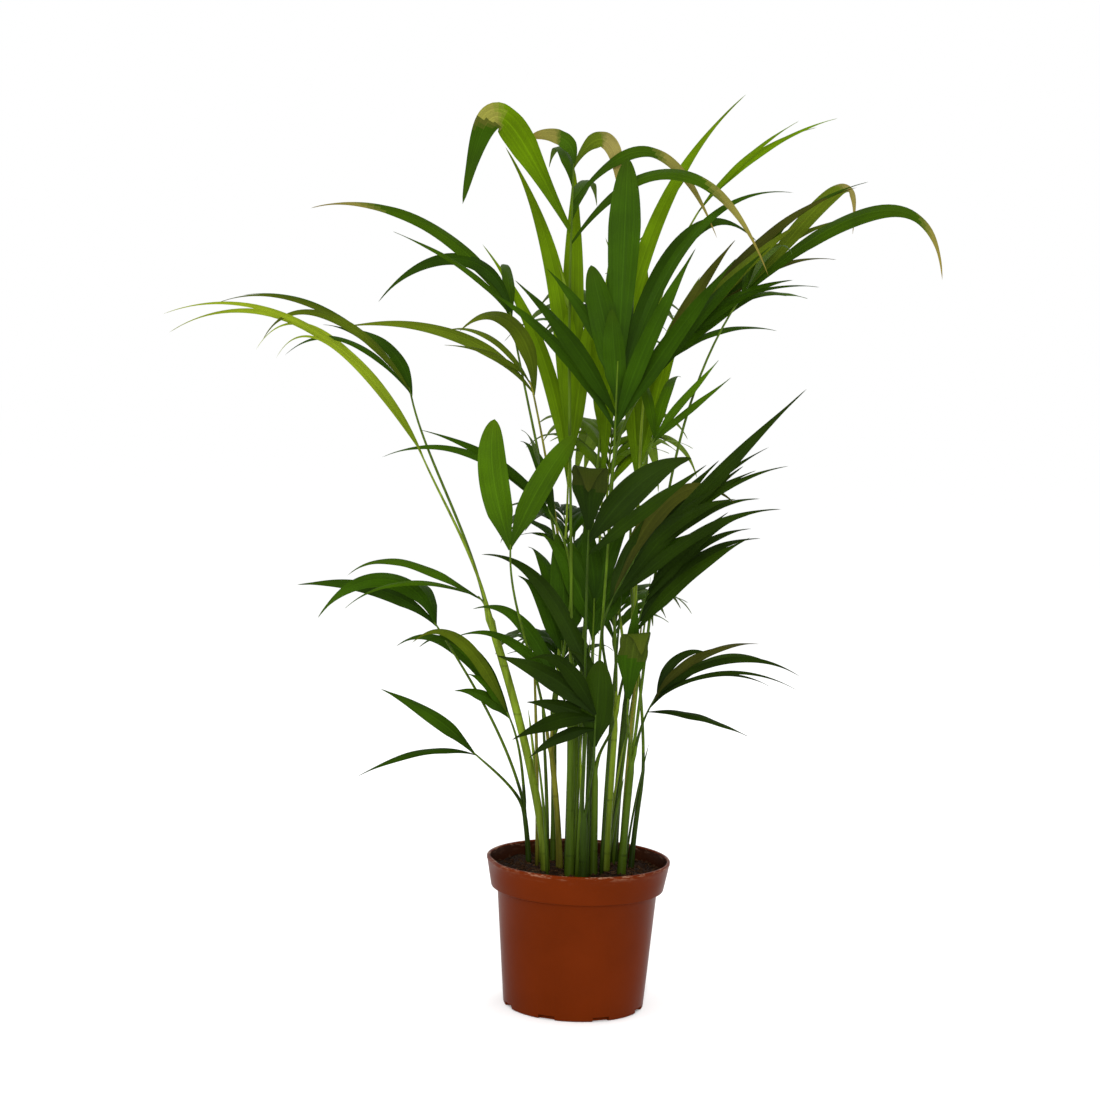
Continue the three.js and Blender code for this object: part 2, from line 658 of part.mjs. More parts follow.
const bows = [];
for (const size of [0, 5, 10, 16, 24]) {
  for (const bearing of size ? [0, 180, 90, 270, 45, 225, 135, 315] : [0]) bows.push([bearing, size]);
}
for (const [name, frond] of Object.entries(all)) {
  const foot = footOf(name);
  const across = acrossOf(frond.rib[0]);
  let clear = null;
  for (const [bearing, size] of bows) {
    const path = stalkPath(foot, frond, direction(frond.rib[0] + 90 + bearing, 0).multiplyScalar(size));
    const share = (petioleFoot - petioleNeck) / 0.55;
    const thickAt = (s) => (s < 0.55 ? petioleFoot - share * s : petioleNeck - ((petioleNeck - ribTip) * (s - 0.55)) / 0.45);
    const solid = limb(path, across, thickAt, 4);
    if (!touches(solid, name)) {
      clear = solid;
      break;
    }
    solid.delete();
  }
  if (clear === null) {
    delete all[name];
    continue;
  }
  frond.solid = clear;
  place(name, clear);
}

const nudges = [0, 5, -5, 10, -10, 16, -16];
for (const [name, frond] of Object.entries(all)) {
  for (const spec of frond.leaves) {
    const root = pointOnRib(frond, spec.at);
    const nudge = nudges.find((n) => {
      const test = leafSolid(root, { ...spec, heading: spec.heading + n }, frond.outlook ?? 270, 0.6);
      const meets = touches(test, name);
      test.delete();
      return !meets;
    });
    if (nudge === undefined) continue;
    const solid = leafSolid(root, { ...spec, heading: spec.heading + nudge }, frond.outlook ?? 270);
    place(name, solid);
    frond.solid = frond.solid.add(solid);
  }
}

for (const [name, frond] of Object.entries(all)) {
  add(`frond_${name}`, largest(frond.solid.asOriginal().simplify(slimmest)), materials.leaf);
}

export default palm;
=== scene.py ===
# Potted areca palm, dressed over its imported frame. Sizes in the tables are millimetres.
import math
import random

import bpy
import numpy as np
from mathutils import Matrix, Vector
from mathutils.bvhtree import BVHTree


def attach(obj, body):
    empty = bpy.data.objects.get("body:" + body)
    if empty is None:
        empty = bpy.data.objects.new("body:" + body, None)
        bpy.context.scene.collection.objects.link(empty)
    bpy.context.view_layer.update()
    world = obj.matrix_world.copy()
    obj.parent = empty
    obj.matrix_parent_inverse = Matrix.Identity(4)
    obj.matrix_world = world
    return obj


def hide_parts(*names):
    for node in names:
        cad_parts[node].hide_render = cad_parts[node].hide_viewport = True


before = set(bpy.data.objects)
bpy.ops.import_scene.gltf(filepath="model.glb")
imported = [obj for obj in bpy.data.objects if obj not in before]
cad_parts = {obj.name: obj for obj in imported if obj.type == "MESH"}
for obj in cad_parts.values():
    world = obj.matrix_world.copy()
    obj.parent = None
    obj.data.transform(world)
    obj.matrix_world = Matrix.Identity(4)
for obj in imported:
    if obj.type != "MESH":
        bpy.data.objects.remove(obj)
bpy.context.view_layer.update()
mm = 0.001

# Camera, at the photograph's height and turn
photoView = {"at": (-0.036, -2.0, 0.568), "down": 4.2, "roll": 2.0, "lens": 71.6, "sensor": 36}


def setCamera():
    data = bpy.data.cameras.new("photoCamera")
    data.lens = photoView["lens"]
    data.sensor_width = photoView["sensor"]
    camera = bpy.data.objects.new("photoCamera", data)
    bpy.context.scene.collection.objects.link(camera)
    pitch = Matrix.Rotation(math.radians(90 - photoView["down"]), 4, "X")
    roll = Matrix.Rotation(math.radians(photoView["roll"]), 4, "Z")
    camera.matrix_world = Matrix.Translation(photoView["at"]) @ pitch @ roll
    bpy.context.scene.camera = camera


setCamera()
print("camera set")


# Materials. Each is one Principled surface with its own pattern, in steps that read like the node editor.
def newSurface(name, roughness, specular):
    material = bpy.data.materials.new(name)
    material.use_nodes = True
    tree = material.node_tree
    surface = tree.nodes["Principled BSDF"]
    surface.inputs["Roughness"].default_value = roughness
    surface.inputs["Specular IOR Level"].default_value = specular
    return material, tree, surface


def addNode(tree, kind, links=(), **settings):
    node = tree.nodes.new(kind)
    for key, value in settings.items():
        if hasattr(node, key):
            setattr(node, key, value)
        else:
            node.inputs[key].default_value = value
    for socket, source in links:
        tree.links.new(source, node.inputs[socket])
    return node


def noiseOn(tree, vector, scale, detail, **settings):
    noise = addNode(tree, "ShaderNodeTexNoise", [("Vector", vector)], Scale=scale, Detail=detail, **settings)
    return noise.outputs["Fac"]


def stretchedBy(tree, vector, scale):
    return addNode(tree, "ShaderNodeMapping", [("Vector", vector)], Scale=scale).outputs[0]


def mathOf(tree, operation, source, value=None):
    node = addNode(tree, "ShaderNodeMath", [(0, source)], operation=operation)
    if value is not None:
        node.inputs[1].default_value = value
    return node.outputs[0]


def rampOf(tree, source, *stops):
    ramp = addNode(tree, "ShaderNodeValToRGB", [("Fac", source)])
    marks = ramp.color_ramp.elements
    while len(marks) < len(stops):
        marks.new(0.5)
    for mark, (place, colour) in zip(marks, stops):
        mark.position = place
        mark.color = (*colour, 1)
    return ramp.outputs["Color"]


def blendColours(tree, share, first, second, mode="MIX"):
    mix = tree.nodes.new("ShaderNodeMix")
    mix.data_type = "RGBA"
    mix.blend_type = mode
    for socket, value in ((0, share), (6, first), (7, second)):
        if isinstance(value, bpy.types.NodeSocket):
            tree.links.new(value, mix.inputs[socket])
        elif socket == 0:
            mix.inputs[0].default_value = value
        else:
            mix.inputs[socket].default_value = (*value, 1)
    return mix.outputs[2]


def multiplied(tree, first, second):
    return blendColours(tree, 1.0, first, second, "MULTIPLY")


def bumpOn(tree, surface, height, strength, distance):
    bump = addNode(tree, "ShaderNodeBump", [("Height", height)], Strength=strength, Distance=distance)
    tree.links.new(bump.outputs["Normal"], surface.inputs["Normal"])


def coordinates(tree):
    return addNode(tree, "ShaderNodeTexCoord").outputs


def partsOf(tree, vector):
    return addNode(tree, "ShaderNodeSeparateXYZ", [("Vector", vector)]).outputs


# Tones in the tables are as they look on a screen once the studio lights them
studioGain = 0.5


def onScreen(red, green, blue):
    return tuple(studioGain * (v / 255) ** 2.2 for v in (red, green, blue))


def shade(colour, share):
    return tuple(v * share for v in colour)


def grey(share):
    return (share, share, share)


# Leaf tones: the upper side, the underside, the paler painted highlight that a leaf reaches in three
# steps where it bends over, and the roughness
leafTones = {
    "deep": ((40, 58, 4), (52, 68, 22), (74, 74, 32), 0.5),
    "dark": ((52, 80, 3), (68, 88, 32), (98, 96, 40), 0.5),
    "mid": ((67, 97, 3), (88, 112, 42), (136, 130, 62), 0.5),
    "fresh": ((104, 136, 5), (116, 144, 42), (150, 148, 66), 0.55),
    "lime": ((142, 162, 36), (150, 172, 64), (172, 178, 84), 0.55),
    "olive": ((90, 106, 22), (106, 114, 48), (148, 138, 74), 0.55),
    "bronze": ((72, 76, 24), (80, 84, 38), (110, 102, 50), 0.5),
}
leafLook = {"gain": 1.5, "shades": (0.84, 1.0, 1.2), "specular": 0.03, "mottle": 26, "mottleDark": 0.68,
            "streaks": (16, 1.2, 1), "streakDark": 0.72, "ribHalf": 0.03, "ribShare": 0.3, "ribLight": 1.5,
            "veins": 20, "veinDepth": 0.2, "veinHigh": 0.0006,
            "age": ((0.0, (0.46, 0.52, 0.5)), (0.3, (0.84, 0.87, 0.9)), (0.8, (1, 1, 1)),
                    (1.0, (1, 0.86, 0.8)))}


def leafSurface(name, colour, roughness):
    look = leafLook
    material, tree, surface = newSurface(name, roughness, look["specular"])
    where = coordinates(tree)
    across = partsOf(tree, where["UV"])
    mottle = noiseOn(tree, where["Object"], look["mottle"], 2)
    clouds = rampOf(tree, mottle, (0.3, grey(look["mottleDark"])), (0.7, grey(1)))
    grain = noiseOn(tree, stretchedBy(tree, where["UV"], look["streaks"]), 1, 3)
    streaks = rampOf(tree, grain, (0.3, grey(look["streakDark"])), (0.66, grey(1)))
    streaked = multiplied(tree, multiplied(tree, clouds, colour), streaks)
    # the midrib is a paler line down the middle
    away = mathOf(tree, "ABSOLUTE", mathOf(tree, "SUBTRACT", across["X"], 0.5))
    midrib = rampOf(tree, away, (0.0, grey(1)), (look["ribHalf"], grey(0)))
    ribTone = tuple(v * look["ribLight"] + 0.003 for v in colour)
    ribbed = blendColours(tree, mathOf(tree, "MULTIPLY", midrib, look["ribShare"]), streaked, ribTone)
    # painted shade darkens the root, where the crown is dense, and the tip is yellower
    ageing = rampOf(tree, across["Y"], *look["age"])
    tree.links.new(multiplied(tree, ribbed, ageing), surface.inputs["Base Color"])
    veins = mathOf(tree, "SINE", mathOf(tree, "MULTIPLY", across["X"], look["veins"] * 2 * math.pi))
    bumpOn(tree, surface, veins, look["veinDepth"], look["veinHigh"])
    return material


leafMaterials = {}
for tone, (*screens, rough) in leafTones.items():
    upper, under, highlightTone = (onScreen(*screen) for screen in screens)
    # bend1 to bend3 step from the upper tone towards the painted highlight at the bend
    skins = {f"bend{k}": tuple(p + (q - p) * k / 3 for p, q in zip(upper, highlightTone)) for k in (1, 2, 3)}
    for step, share in enumerate(leafLook["shades"]):
        skins[f"upper{step}"] = shade(upper, share)
        skins[f"under{step}"] = shade(under, share)
    for skin, colour in skins.items():
        name = f"{tone}_{skin}"
        leafMaterials[name] = leafSurface("leaf_" + name, shade(colour, leafLook["gain"]), rough)

# Stalks and canes: streaked along their length, darker towards the soil, with darker scars where
# old sheaths came off
stalkTones = {"green": (86, 112, 26), "yellow": (132, 132, 44), "bright": (126, 150, 40),
              "shaded": (60, 82, 20)}
stalkLook = {"rough": 0.45, "specular": 0.06, "stretch": (1, 1, 0.08), "dark": 0.55, "light": 1.4,
             "scar": 0.78, "flecks": 900, "fleckDark": 0.4, "fleckShare": 0.35,
             "reliefDepth": 0.25, "reliefHigh": 0.0008,
             "darkTowardsSoil": ((0.124, (0.4, 0.36, 0.36)), (0.15, (0.66, 0.66, 0.7)), (0.23, (1, 1, 1)))}


def stalkSurface(name, colour, streaks):
    look = stalkLook
    material, tree, surface = newSurface(name, look["rough"], look["specular"])
    where = coordinates(tree)["Object"]
    streak = noiseOn(tree, stretchedBy(tree, where, look["stretch"]), streaks, 4, Roughness=0.6)
    dark, light = shade(colour, look["dark"]), shade(colour, look["light"])
    tint = rampOf(tree, streak, (0.3, dark), (0.5, colour), (0.75, light))
    flecks = rampOf(tree, noiseOn(tree, where, look["flecks"], 2), (0.62, grey(0)), (0.7, grey(1)))
    share = mathOf(tree, "MULTIPLY", flecks, look["fleckShare"])
    flecked = blendColours(tree, share, tint, shade(colour, look["fleckDark"]))
    # darker towards the soil
    darkTowardsSoil = rampOf(tree, partsOf(tree, where)["Z"], *look["darkTowardsSoil"])
    tree.links.new(multiplied(tree, flecked, darkTowardsSoil), surface.inputs["Base Color"])
    bumpOn(tree, surface, streak, look["reliefDepth"], look["reliefHigh"])
    return material


stalkMaterials, caneMaterials = {}, {}
for tone, screen in stalkTones.items():
    colour = onScreen(*screen)
    stalkMaterials[tone] = stalkSurface("stalk_" + tone, colour, 260)
    caneMaterials[tone] = stalkSurface("cane_" + tone, colour, 150)
    caneMaterials[tone + "Scar"] = stalkSurface("scar_" + tone, shade(colour, stalkLook["scar"]), 300)
print("leaf and stalk materials ready")


# The palm's own rules, the same as its solids grow by
def caneFrom(foot, top, wide, tone):
    return {"foot": foot, "top": top, "wide": wide, "tone": tone}


canes = {
    "cane_bright": caneFrom((-30, -6), (-88, 2, 352), (7.5, 8), "bright"),
    "cane_left": caneFrom((-46, 30), (-53, 30, 180), (5, 4.5), "shaded"),
    "cane_slim": caneFrom((-23, 36), (-27, 42, 262), (5.5, 5), "green"),
    "cane_split": caneFrom((-17, 8), (-29, -4, 240), (6, 5), "yellow"),
    "cane_front": caneFrom((-8, -30), (-13, -38, 298), (8, 6), "green"),
    "cane_near": caneFrom((4, -44), (3, -52, 190), (7.5, 6.5), "shaded"),
    "cane_tall": caneFrom((-4, 12), (-8, 14, 290), (8, 6.5), "green"),
    "cane_stout": caneFrom((11, 30), (7, 34, 300), (9, 7.5), "shaded"),
    "cane_back": caneFrom((-8, 54), (-6, 62, 250), (8, 6.5), "green"),
    "cane_middle": caneFrom((14, -16), (12, -18, 228), (7, 6), "green"),
    "cane_right": caneFrom((25, 4), (29, 6, 272), (8.5, 8), "bright"),
    "cane_far": caneFrom((34, 44), (42, 52, 290), (7.5, 6.5), "shaded"),
    "cane_dark": caneFrom((40, -12), (46, -14, 236), (7.5, 6.5), "green"),
    "cane_edge": caneFrom((50, 16), (58, 20, 214), (5, 4.5), "shaded"),
}
growth = {"soilTop": 124, "gap": 0.3, "petioleFoot": 3, "petioleNeck": 2.4, "ribTip": 1.4,
          "splay": 30, "splayReach": 110, "leafThickness": 0.0108, "leastThickness": 1.1}

# A leaf springs from the rib at the share "at", goes "reach" out and "rise" up, and turns from the
# angle "lift" to the angle "end". It bends over at the share "over" of its length, and is back in
# the shade from the share "until". A folded leaf shows its back to the front view. A leaf is slimmer
# over the share "slim" next to its root.
leafHabit = {"turn": 60, "arm": 1, "blunt": 0, "tone": None, "over": 2, "until": 3, "folded": False,
             "slim": 0.28, "stretch": 1}


def leaf(at, heading, reach, rise, lift, end, wide, **habit):
    measures = {"at": at, "heading": heading, "reach": reach, "rise": rise, "lift": lift, "end": end}
    return {**measures, "wide": wide, **leafHabit, **habit}


# A frond: its cane, the neck where the leaflets start, the rib's heading, lift, bend and length, its
# tone and its leaves
def frondOn(cane, neck, rib, tone, leaves=(), **pairing):
    return {"cane": cane, "neck": neck, "rib": rib, "tone": tone, "leaves": leaves, **pairing}


fronds = {
    "tall": frondOn("cane_front", [-27, -60, 696], [270, 88, 3, 70], "mid", [
        leaf(0, 345, 170, -28, 56, -68, 13, arm=1.4, over=0.62),
        leaf(0.15, 188, 94, 15, 58, -80, 27, turn=75, arm=2.6, blunt=0.3, over=0.46, until=0.64,
             tone="fresh"),
        leaf(0.5, 12, 129, -28, 54, -66, 12, arm=1.55, over=0.5),
        leaf(1, 186, 40, 20, 94, -24, 15, turn=70, arm=1.1, blunt=0.5, over=0.5),
        leaf(0.97, 0, 40, -16, 66, -90, 15, turn=90, arm=1.9, blunt=0.6, over=0.42, tone="olive"),
    ]),
    "fan": frondOn("cane_middle", [17, -90, 535], [270, 84, 4, 60], "dark", [
        leaf(0, 188, 120, 120, 62, 28, 15), leaf(0.2, 195, 93, 110, 60, 38, 22),
        leaf(0.85, 190, 66, 88, 62, 42, 15), leaf(0.55, 200, 28, 108, 80, 74, 25, turn=80, blunt=0.7),
        leaf(0.4, 240, 14, 80, 86, 84, 20, turn=80, blunt=0.5), leaf(0.05, 355, 104, 152, 60, 50, 21),
        leaf(0, 350, 62, 156, 76, 62, 20), leaf(0.1, 5, 125, 165, 82, -42, 22, turn=70),
        leaf(0.3, 15, 150, 190, 76, -6, 12, turn=70),
        leaf(0.5, 284, 8, 204, 86, 88, 31, turn=80, blunt=0.8, slim=0.72),
    ]),
    "right": frondOn("cane_dark", [128, 0, 655], [0, 58, 5, 12], "mid", [
        leaf(0.3, 352, 168, 16, 46, -85, 17, turn=55, arm=1.3, over=0.74),
        leaf(0.6, 6, 107, 62, 50, -95, 16, arm=1.5, over=0.62, tone="olive"),
        leaf(1, 350, 46, 68, 66, 16, 13, turn=75), leaf(0.1, 0, 66, 4, 22, -12, 6, turn=40),
    ]),
    "right_dark": frondOn("cane_right", [42, 20, 566], [0, 57, 4, 95], "dark", [
        leaf(0, 350, 108, 134, 60, 42, 17), leaf(0.3, 10, 72, 125, 70, 50, 15, tone="bronze"),
        leaf(0.6, 352, 107, 112, 56, 32, 17, tone="olive"), leaf(1, 6, 75, 48, 48, 18, 12),
        leaf(0.75, 0, 113, 42, 46, -8, 6), leaf(0.25, 4, 118, 45, 52, -10, 8),
    ]),
    "back_left": frondOn("cane_slim", [-21, 82, 478], [90, 86, 4, 60], "fresh", [
        leaf(0, 178, 91, 228, 84, 50, 15, turn=70), leaf(0.25, 174, 70, 298, 89, 56, 20, turn=70),
        leaf(0.6, 150, 5, 262, 89, 88, 22, turn=75, blunt=0.3),
    ]),
    "back_right": frondOn("cane_stout", [12, 92, 480], [90, 86, 4, 70], "fresh", [
        leaf(0, 10, 20, 266, 89, 82, 15, turn=75), leaf(0.25, 8, 74, 282, 87, 52, 20, turn=70),
        leaf(0.5, 2, 118, 330, 84, 42, 17, turn=68), leaf(0.9, 60, 6, 190, 88, 88, 17, turn=75),
    ]),
    "back_tall": frondOn("cane_far", [46, 96, 470], [88, 86, 4, 40], "fresh", [
        leaf(0.2, 120, 4, 226, 90, 86, 20, turn=75, blunt=0.3), leaf(0.6, 20, 60, 190, 84, 56, 14, turn=70),
        leaf(0.9, 165, 46, 210, 86, 64, 15, turn=70),
    ]),
    "back_thin": frondOn("cane_far", [92, 92, 738], [0, 60, 8, 12], "fresh", [
        leaf(0, 2, 88, 85, 58, 30, 6), leaf(0.5, 350, 113, 85, 56, 16, 6), leaf(1, 10, 120, 80, 50, 14, 6),
    ]),
    "arch_left": frondOn("cane_back", [-56, 20, 562], [180, 76, 8, 14], "olive", [
        leaf(0.2, 186, 178, 54, 52, -12, 12), leaf(0, 200, 71, 54, 92, -48, 16, turn=70, arm=1.2),
        leaf(0.6, 172, 110, 48, 56, -20, 6), leaf(0.9, 190, 78, 30, 52, 0, 5),
    ]),
    "upper_left": frondOn("cane_tall", [-78, 25, 628], [180, 78, 6, 10], "mid", [
        leaf(0, 182, 195, 102, 70, -16, 13, arm=0.9, over=0.7), leaf(0.5, 170, 110, 72, 56, 20, 6),
        leaf(0.2, 195, 130, 13, 80, -54, 14, arm=1.15, tone="dark"),
    ]),
    "far_left": frondOn("cane_bright", [-169, 30, 556], [180, 76, 6, 10], "dark", [
        leaf(0, 170, 66, 63, 84, 8, 11, turn=70), leaf(0.4, 187, 108, 30, 52, -48, 6, arm=1.1),
        leaf(0.8, 178, 88, 58, 54, 2, 5),
    ]),
    "far_bright": frondOn("cane_bright", [-152, -15, 498], [180, 64, 4, 14], "lime", [
        leaf(0, 182, 244, 110, 66, -34, 9), leaf(0.3, 175, 234, 120, 64, -24, 7),
        leaf(0.7, 188, 158, 88, 60, -60, 5), leaf(1, 184, 122, 76, 56, -66, 4),
    ]),
    "mid_left": frondOn("cane_split", [-28, -20, 441], [180, 62, 8, 30], "dark", [
        leaf(0, 186, 167, 59, 58, -26, 9), leaf(0.6, 175, 118, 72, 54, 12, 9),
        leaf(1, 180, 44, 38, 50, 38, 6),
    ]),
    "front_vee": frondOn("cane_split", [-71, -70, 424], [270, 86, 2, 6], "mid", [
        leaf(0.2, 190, 18, 115, 72, 100, 27, turn=82, blunt=0.8),
        leaf(0.6, 350, 54, 101, 70, 52, 22, turn=80, blunt=0.7),
    ]),
    "low_left": frondOn("cane_left", [-96, 10, 226], [180, 40, 5, 6], "dark", [
        leaf(0.8, 178, 93, 49, 44, 16, 14), leaf(0.3, 186, 104, -10, 24, -26, 8, turn=40),
    ]),
    "left": frondOn("cane_left", [-137, 10, 345], [180, 56, 6, 6], "dark", [
        leaf(0.3, 184, 136, 29, 44, -10, 14), leaf(0.8, 170, 106, 5, 72, -60, 17, arm=1.1),
    ]),
    "left_ribbon": frondOn("cane_bright", [-97, 20, 370], [180, 50, 6, 6], "mid", [
        leaf(0.3, 178, 131, 12, 28, -44, 9, turn=50), leaf(0.8, 190, 118, -6, 26, -44, 6, turn=50),
    ]),
    "left_low": frondOn("cane_left", [-67, -5, 264], [180, 66, 6, 8], "dark", [
        leaf(0.1, 182, 117, 55, 62, -40, 13), leaf(0.5, 168, 85, 63, 70, -44, 11),
        leaf(0.8, 196, 60, 62, 64, 22, 9), leaf(1, 205, 41, 36, 56, 10, 10),
    ]),
    "inner_left": frondOn("cane_middle", [24, -62, 281], [184, 62, 2, 6], "deep", [
        leaf(0.3, 184, 122, 133, 56, -6, 16, turn=66),
    ]),
    "inner_low": frondOn("cane_split", [-18, -56, 290], [184, 66, 6, 8], "dark", [
        leaf(0.3, 182, 91, 72, 62, -22, 14, arm=1.1), leaf(0.8, 176, 95, 54, 56, -22, 10),
    ]),
    "front_low": frondOn("cane_near", [9, -90, 252], [270, 80, 6, 34], "deep", [
        leaf(1, 190, 88, 46, 46, 10, 23), leaf(0.9, 184, 72, -14, 12, -26, 18),
        leaf(0.8, 202, 66, 14, 26, -2, 18), leaf(1, 176, 60, 50, 62, -24, 18),
        leaf(0.6, 210, 66, -28, -4, -40, 13), leaf(0.1, 290, 6, 78, 86, 88, 29, turn=85, blunt=0.6),
    ]),
    "right_low": frondOn("cane_dark", [58, -22, 278], [0, 66, 6, 18], "deep", [
        leaf(0, 350, 87, -8, 14, -18, 10, turn=40), leaf(0.2, 4, 112, 38, 50, -26, 9),
        leaf(0.5, 15, 70, 56, 62, 6, 9, tone="bronze"), leaf(0.7, 12, 105, 44, 54, -8, 9, tone="bronze"),
        leaf(0.9, 356, 122, 32, 50, -30, 8), leaf(1, 5, 48, 38, 84, -24, 10),
    ]),
    "right_fan": frondOn("cane_right", [18, -60, 376], [350, 66, 6, 62], "deep", [
        leaf(0, 356, 160, 200, 58, 46, 20), leaf(0.5, 6, 132, 118, 54, 26, 11),
        leaf(0.6, 0, 132, 100, 50, 12, 11), leaf(0.3, 352, 112, 112, 58, 36, 20),
        leaf(0.1, 350, 140, 92, 44, 4, 15),
        leaf(0.2, 344, 110, 84, 74, -40, 23, turn=65, arm=1.1, tone="bronze"),
        leaf(0.9, 352, 68, 66, 56, 40, 12), leaf(0.05, 12, 30, 80, 78, 60, 15),
    ]),
    "centre_fan": frondOn("cane_near", [-3, -104, 426], [270, 84, 4, 22], "deep", [
        leaf(0.5, 28, 98, 76, 52, 10, 26, turn=70, blunt=0.2),
        leaf(1, 266, 32, 34, 84, -76, 33, turn=0, arm=1.7, blunt=0.3, over=0.42, folded=True),
        leaf(0, 352, 96, 84, 44, 40, 14),
    ]),
    "middle": frondOn("cane_stout", [6, -8, 340], [270, 84, 4, 40], "dark", [
        leaf(0, 186, 26, 96, 88, 64, 18, turn=75), leaf(0.35, 10, 26, 104, 84, 62, 19, turn=75),
        leaf(0.7, 350, 76, 78, 60, 26, 15, turn=65), leaf(1, 200, 12, 78, 90, 84, 17, turn=80),
    ]),
    "deep_right": frondOn("cane_right", [44, -34, 352], [340, 78, 6, 40], "deep", [
        leaf(0, 5, 96, 92, 58, 30, 15, turn=65), leaf(0.5, 355, 110, 66, 52, 0, 13, turn=60),
        leaf(1, 350, 66, 76, 62, 40, 12, turn=62),
    ]),
    "slim_right": frondOn("cane_edge", [52, -20, 520], [0, 66, 4, 8], "mid", [
        leaf(0.3, 10, 68, 62, 50, 42, 7), leaf(0.8, 348, 56, 74, 62, 52, 8),
    ]),
    "centre_left": frondOn("cane_tall", [-21, 4, 322], [190, 86, 2, 16], "dark", [
        leaf(0.2, 184, 9, 112, 94, 80, 25, turn=80, blunt=0.4), leaf(1, 20, 24, 104, 80, 84, 17, turn=75),
    ]),
    "folded_low": frondOn("cane_dark", [38, -64, 290], [285, 84, 4, 6], "dark", [
        leaf(0.8, 288, 30, 44, 84, -74, 30, turn=0, arm=1.5, blunt=0.3, over=0.42, folded=True),
        leaf(0.2, 300, 10, 96, 88, 80, 14, turn=80),
    ]),
}

# Fronds that face away from the front view, with their leaflets in pairs by rule
paired = {
    "rear_top": frondOn("cane_back", [10, 122, 585], [88, 60, 46, 115], "mid", pairs=5, long=165, wide=18),
    # rear_high takes the brighter fresh tone, painted light that lifts leaves lying in shade
    "rear_high": frondOn("cane_far", [18, 138, 470], [86, 58, 50, 120], "fresh", pairs=5, long=160, wide=18),
    "rear_wide": frondOn("cane_slim", [-16, 130, 390], [96, 56, 46, 105], "dark", pairs=4, long=140, wide=16),
    "rear_right": frondOn("cane_far", [28, 104, 330], [80, 54, 46, 80], "mid", pairs=4, long=120, wide=16),
    "rear_left": frondOn("cane_back", [-18, 112, 285], [100, 54, 42, 70], "dark", pairs=4, long=110, wide=16),
}


def along(heading, lift):
    turn, rise = math.radians(heading), math.radians(lift)
    return np.array([math.cos(rise) * math.cos(turn), math.cos(rise) * math.sin(turn), math.sin(rise)])


def unit(vector):
    return vector / max(np.linalg.norm(vector), 1e-30)


def onCurve(points, t):
    a, b, c, d = points
    place = a * (1 - t) ** 3 + b * 3 * t * (1 - t) ** 2 + c * 3 * t * t * (1 - t) + d * t ** 3
    t = min(max(t, 1e-4), 1 - 1e-4)
    slope = (b - a) * (1 - t) ** 2 + (c - b) * 2 * t * (1 - t) + (d - c) * t * t
    return place, unit(slope)


def ribPath(frond, steps):
    heading, lift, sag, long = frond["rib"]
    path = [(np.array(frond["neck"], float), along(heading, lift))]
    for i in range(1, steps + 1):
        place = path[-1][0] + along(heading, lift - sag * (i - 0.5) / steps) * long / steps
        path.append((place, along(heading, lift - sag * i / steps)))
    return path


def leafCurve(root, spec):
    level = along(spec["heading"], 0) * spec["stretch"]
    up = np.array([0, 0, 1.0])

    def slope(angle):
        return level * math.cos(math.radians(angle)) + up * math.sin(math.radians(angle))

    half = max(math.radians(abs(spec["lift"] - spec["end"])) / 2, 0.01)
    pull = spec["arm"] * math.hypot(spec["reach"], spec["rise"]) * 2 * math.tan(half / 2) / math.sin(half)
    tip = root + level * spec["reach"] + up * spec["rise"]
    return [root, root + slope(spec["lift"]) * pull / 3, tip - slope(spec["end"]) * pull / 3, tip]


def leafOutline(share, blunt):
    pointed = 0.2 + 0.8 * math.sin(math.pi * min(1, share * 1.08 + 0.02) ** 0.9)
    rounded = 0.2 + 0.8 * math.sin(math.pi / 2 * min(1, share / 0.62 + 0.04))
    return (pointed + (rounded - pointed) * blunt) * (1 - share ** (5 + 5 * blunt))


def leafFace(spec, outlook):
    turn = math.radians(spec["turn"])
    return np.array([0, 0, math.cos(turn)]) + along(outlook, 0) * math.sin(turn)


def seeded(seed):
    state = [seed]

    def draw():
        state[0] = (state[0] * 1664525 + 1013904223) % 4294967296
        return state[0] / 4294967296

    return draw


def pairedLeaves(frond, seed):
    chance = seeded(seed)
    heading, lift0, sag, _ = frond["rib"]
    rows = []
    for i in range(frond["pairs"]):
        at = i / (frond["pairs"] - 1)
        for hand in (-1, 1):
            spread = hand * (46 - 30 * at + 8 * (chance() - 0.5))
            swell = 0.76 + 0.3 * math.sin(math.pi * (0.2 + 0.75 * at))
            size = frond["long"] * swell * (0.9 + 0.2 * chance())
            lift = lift0 - sag * at + 6 + 12 * chance()
            end = lift - 85 - 35 * chance()
            middle = math.radians((lift + end) / 2)
            reach, rise = 0.86 * size * math.cos(middle), 0.86 * size * math.sin(middle)
            rows.append(leaf(at, heading + spread, reach, rise, lift, end, frond["wide"], turn=0))
    return rows


def splayed(spec, swing):
    side = math.cos(math.radians(spec["heading"]))
    if abs(side) < 0.85 or spec["reach"] < 60:
        return spec
    heading = spec["heading"] + swing * min(1, growth["splayReach"] / spec["reach"])
    return {**spec, "heading": heading, "stretch": side / math.cos(math.radians(heading))}


def limbRings(path, across, thickAt, sides):
    rings = []
    for step, (place, ahead) in enumerate(path):
        up = unit(np.cross(across, ahead))
        radius = thickAt(step / (len(path) - 1)) / 2
        turns = [2 * math.pi * i / sides for i in range(sides)]
        rings.append([place + (across * math.sin(a) + up * math.cos(a)) * radius for a in turns])
    return rings


def ringFaces(count, sides, first=0):
    faces = []
    for i in range(count - 1):
        for j in range(sides):
            a, b = first + i * sides + j, first + i * sides + (j + 1) % sides
            faces.append((a, b, b + sides, a + sides))
    return faces


